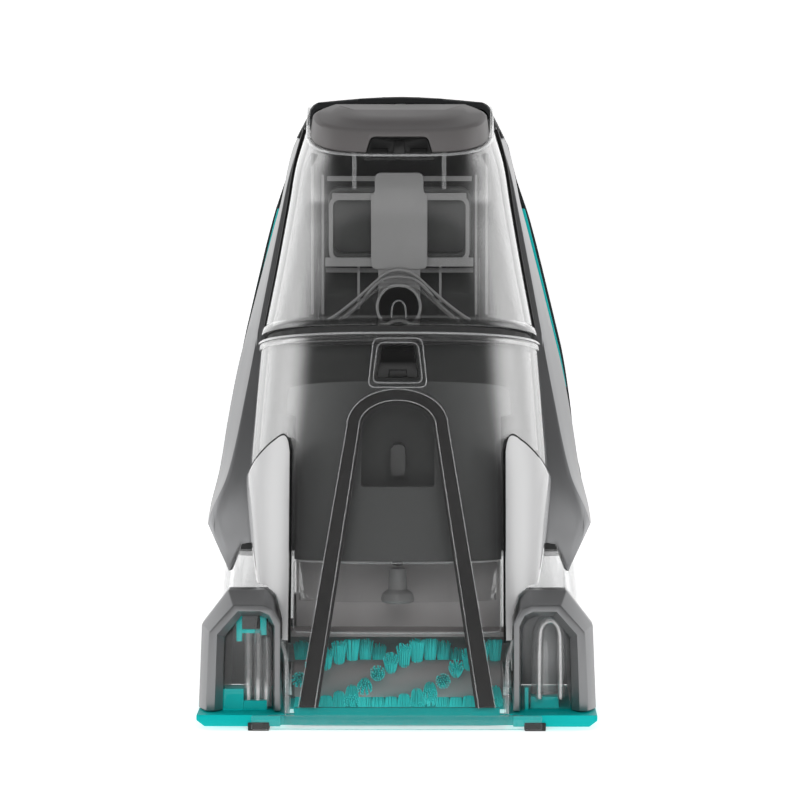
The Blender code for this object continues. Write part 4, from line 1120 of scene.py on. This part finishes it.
def tank_loft(name, levels):
    """A solid through tank outlines, from heights and how far each shrinks."""
    return loft(name, [[(x, v, z) for x, v in tank_outline(shrink, z)] for z, shrink in levels])


def water_tank():
    levels = [(1.4, 4.6), (1.9, 2.4), (3.2, 0.8), (5.4, 0.0), (37.0, 0.0), (38.6, 0.2), (54.0, 0.0)]
    tank = tank_loft("water_tank_shell", levels)
    cut(tank, tank_loft("water_room", [(3.4, 6.0), (7.4, 2.2), (38.0, 2.2), (52.0, 2.2)]))
    cut(tank, rod("fill_hole", "v", (0, 36), 11.0, 328, 344))
    cut(tank, rod("valve_hole", "z", (0, 104), 4.4, 45, 60))
    # the tank's whitish haze is painted light, standing in for the background seen through it
    finish(tank, "water_tank", "whitish_painted_backlight", ["clean_tank"], 40)


def fill_cap():
    """Screw cap with a raised bar between two grooves."""
    profile = [(330, 10.0), (330.4, 10.4), (336.4, 10.4)]
    profile += [(336.4, 13.1), (336.9, 13.5), (340.6, 12.7), (341, 12.2)]
    cap = turned("fill_cap_knob", "v", (0, 36), profile)
    cut(cap, box("groove_upper", (-20, 338.6, 38), (20, 345, 56)))
    cut(cap, box("groove_lower", (-20, 338.6, 16), (20, 345, 34)))
    finish(soften(cap, 0.3, 2, 40), "cap", "teal", ["fill_cap"])


# ---- carried-over CAD nodes
CARRIED = {
    "rubber": [
        "tank_gasket", "lid_gasket", "drive_belt", "spray_hose", "motor_mount", "charge_flap", "rear_foot",
    ],
    "steel": [
        "brush_bearing_left", "brush_bearing_right", "brush_motor", "motor_pulley", "spray_pump",
        "suction_motor", "trigger_spring", "release_spring",
    ],
    "dark_grey": [
        "brush_pulley", "suction_fan", "battery_pack", "charge_port", "power_button", "trigger_switch",
        "tank_valve",
    ],
    "charcoal": ["bulkhead", "deck", "fan_housing"],
    "chamber_grey": ["brush_chamber"],
    "smoky": ["spray_window"],
    "teal": ["spray_trigger"],
    "board": ["circuit_board"],
    "white": ["float"],
    "lamp": ["status_light"],
}


def dress_cad():
    """Gives each CAD node that stays in view its finished material."""
    for look, names in CARRIED.items():
        for name in names:
            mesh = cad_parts[name].data
            mesh.materials.clear()
            mesh.materials.append(LOOKS[look])


# ---- stage
def aim(obj, target):
    obj.rotation_euler = (Vector(target) - obj.location).to_track_quat("-Z", "Y").to_euler()


def camera():
    """Long lens, nearly level, in front of the machine."""
    data = bpy.data.cameras.new("camera")
    data.lens = CAMERA_LENS
    data.shift_y = CAMERA_SHIFT
    made = placed("camera", data)
    up, about = radians(CAMERA_ELEVATION), radians(CAMERA_AZIMUTH)
    way = Vector((sin(about) * cos(up), -cos(about) * cos(up), sin(up)))
    made.location = Vector(CAMERA_TARGET) + way * CAMERA_DISTANCE
    aim(made, CAMERA_TARGET)
    bpy.context.scene.camera = made


def softbox():
    """A soft light in front of and above the machine, which doesn't show in mirror-like skins."""
    data = bpy.data.lights.new("front_fill", "AREA")
    data.shape = "RECTANGLE"
    data.size, data.size_y = 1.4, 0.9
    data.energy = 17
    made = placed("front_fill", data)
    made.location = (0, -1.7, 0.9)
    made.visible_glossy = False
    aim(made, (0, -0.03, 0.1))


def lay_floor():
    """A wide, flat, pale floor, in metres."""
    mesh = bpy.data.meshes.new("floor")
    far = FLOOR_HALF
    mesh.from_pydata([(-far, -far, 0), (far, -far, 0), (far, far, 0), (-far, far, 0)], [], [(0, 1, 2, 3)])
    floor = placed("floor", mesh)
    look, _, shader, _ = nodes_of("floor_paint")
    shader.inputs["Base Color"].default_value = (0.93, 0.93, 0.93, 1.0)
    shader.inputs["Roughness"].default_value = 0.9
    shader.inputs["Emission Color"].default_value = (1, 1, 1, 1)
    shader.inputs["Emission Strength"].default_value = 0.6
    mesh.materials.append(look)


def studio_world():
    """White beside and behind the object, dim overhead and in front of it, with a pale horizon all round."""
    world = bpy.data.worlds.new("studio")
    bpy.context.scene.world = world
    world.use_nodes = True
    tree = world.node_tree
    where = tree.nodes.new("ShaderNodeTexCoord")
    split = tree.nodes.new("ShaderNodeSeparateXYZ")
    tree.links.new(where.outputs["Generated"], split.inputs["Vector"])
    forward, height = split.outputs["Y"], split.outputs["Z"]
    sides = remap(tree, forward, FRONT_LIGHT, SIDE_LIGHT, -0.35, 0.0)
    back = remap(tree, forward, 0.0, BACK_LIGHT - SIDE_LIGHT, 0.1, 0.6)
    crown = remap(tree, height, 1.0, TOP_SHARE, 0.3, 0.75)
    horizon = remap(tree, height, HORIZON_LIGHT, 0.0, 0.02, 0.09)
    level = combine_numbers(tree, "MULTIPLY", combine_numbers(tree, "ADD", sides, back), crown)
    level = combine_numbers(tree, "MAXIMUM", level, horizon)
    tree.links.new(level, tree.nodes["Background"].inputs["Strength"])
    tree.nodes["Background"].inputs["Color"].default_value = (1, 1, 1, 1)


def stage():
    lay_floor()
    studio_world()
    softbox()
    bpy.context.scene.view_settings.view_transform = "Standard"


def build():
    make_looks()
    camera()
    stage()
    duct_cover()
    button_frame()
    cheeks()
    duct()
    recovery_tank()
    lid()
    tank_rim()
    tank_seams()
    tank_insides()
    for side, word in SIDES:
        side_shell(side, word)
        stripe(side, word)
    rear_housing()
    handle_grip()
    shoulders()
    nozzle_base()
    lip_and_pads()
    brush()
    nozzle_insides()
    window_fittings()
    water_tank()
    fill_cap()
    dress_cad()


build()
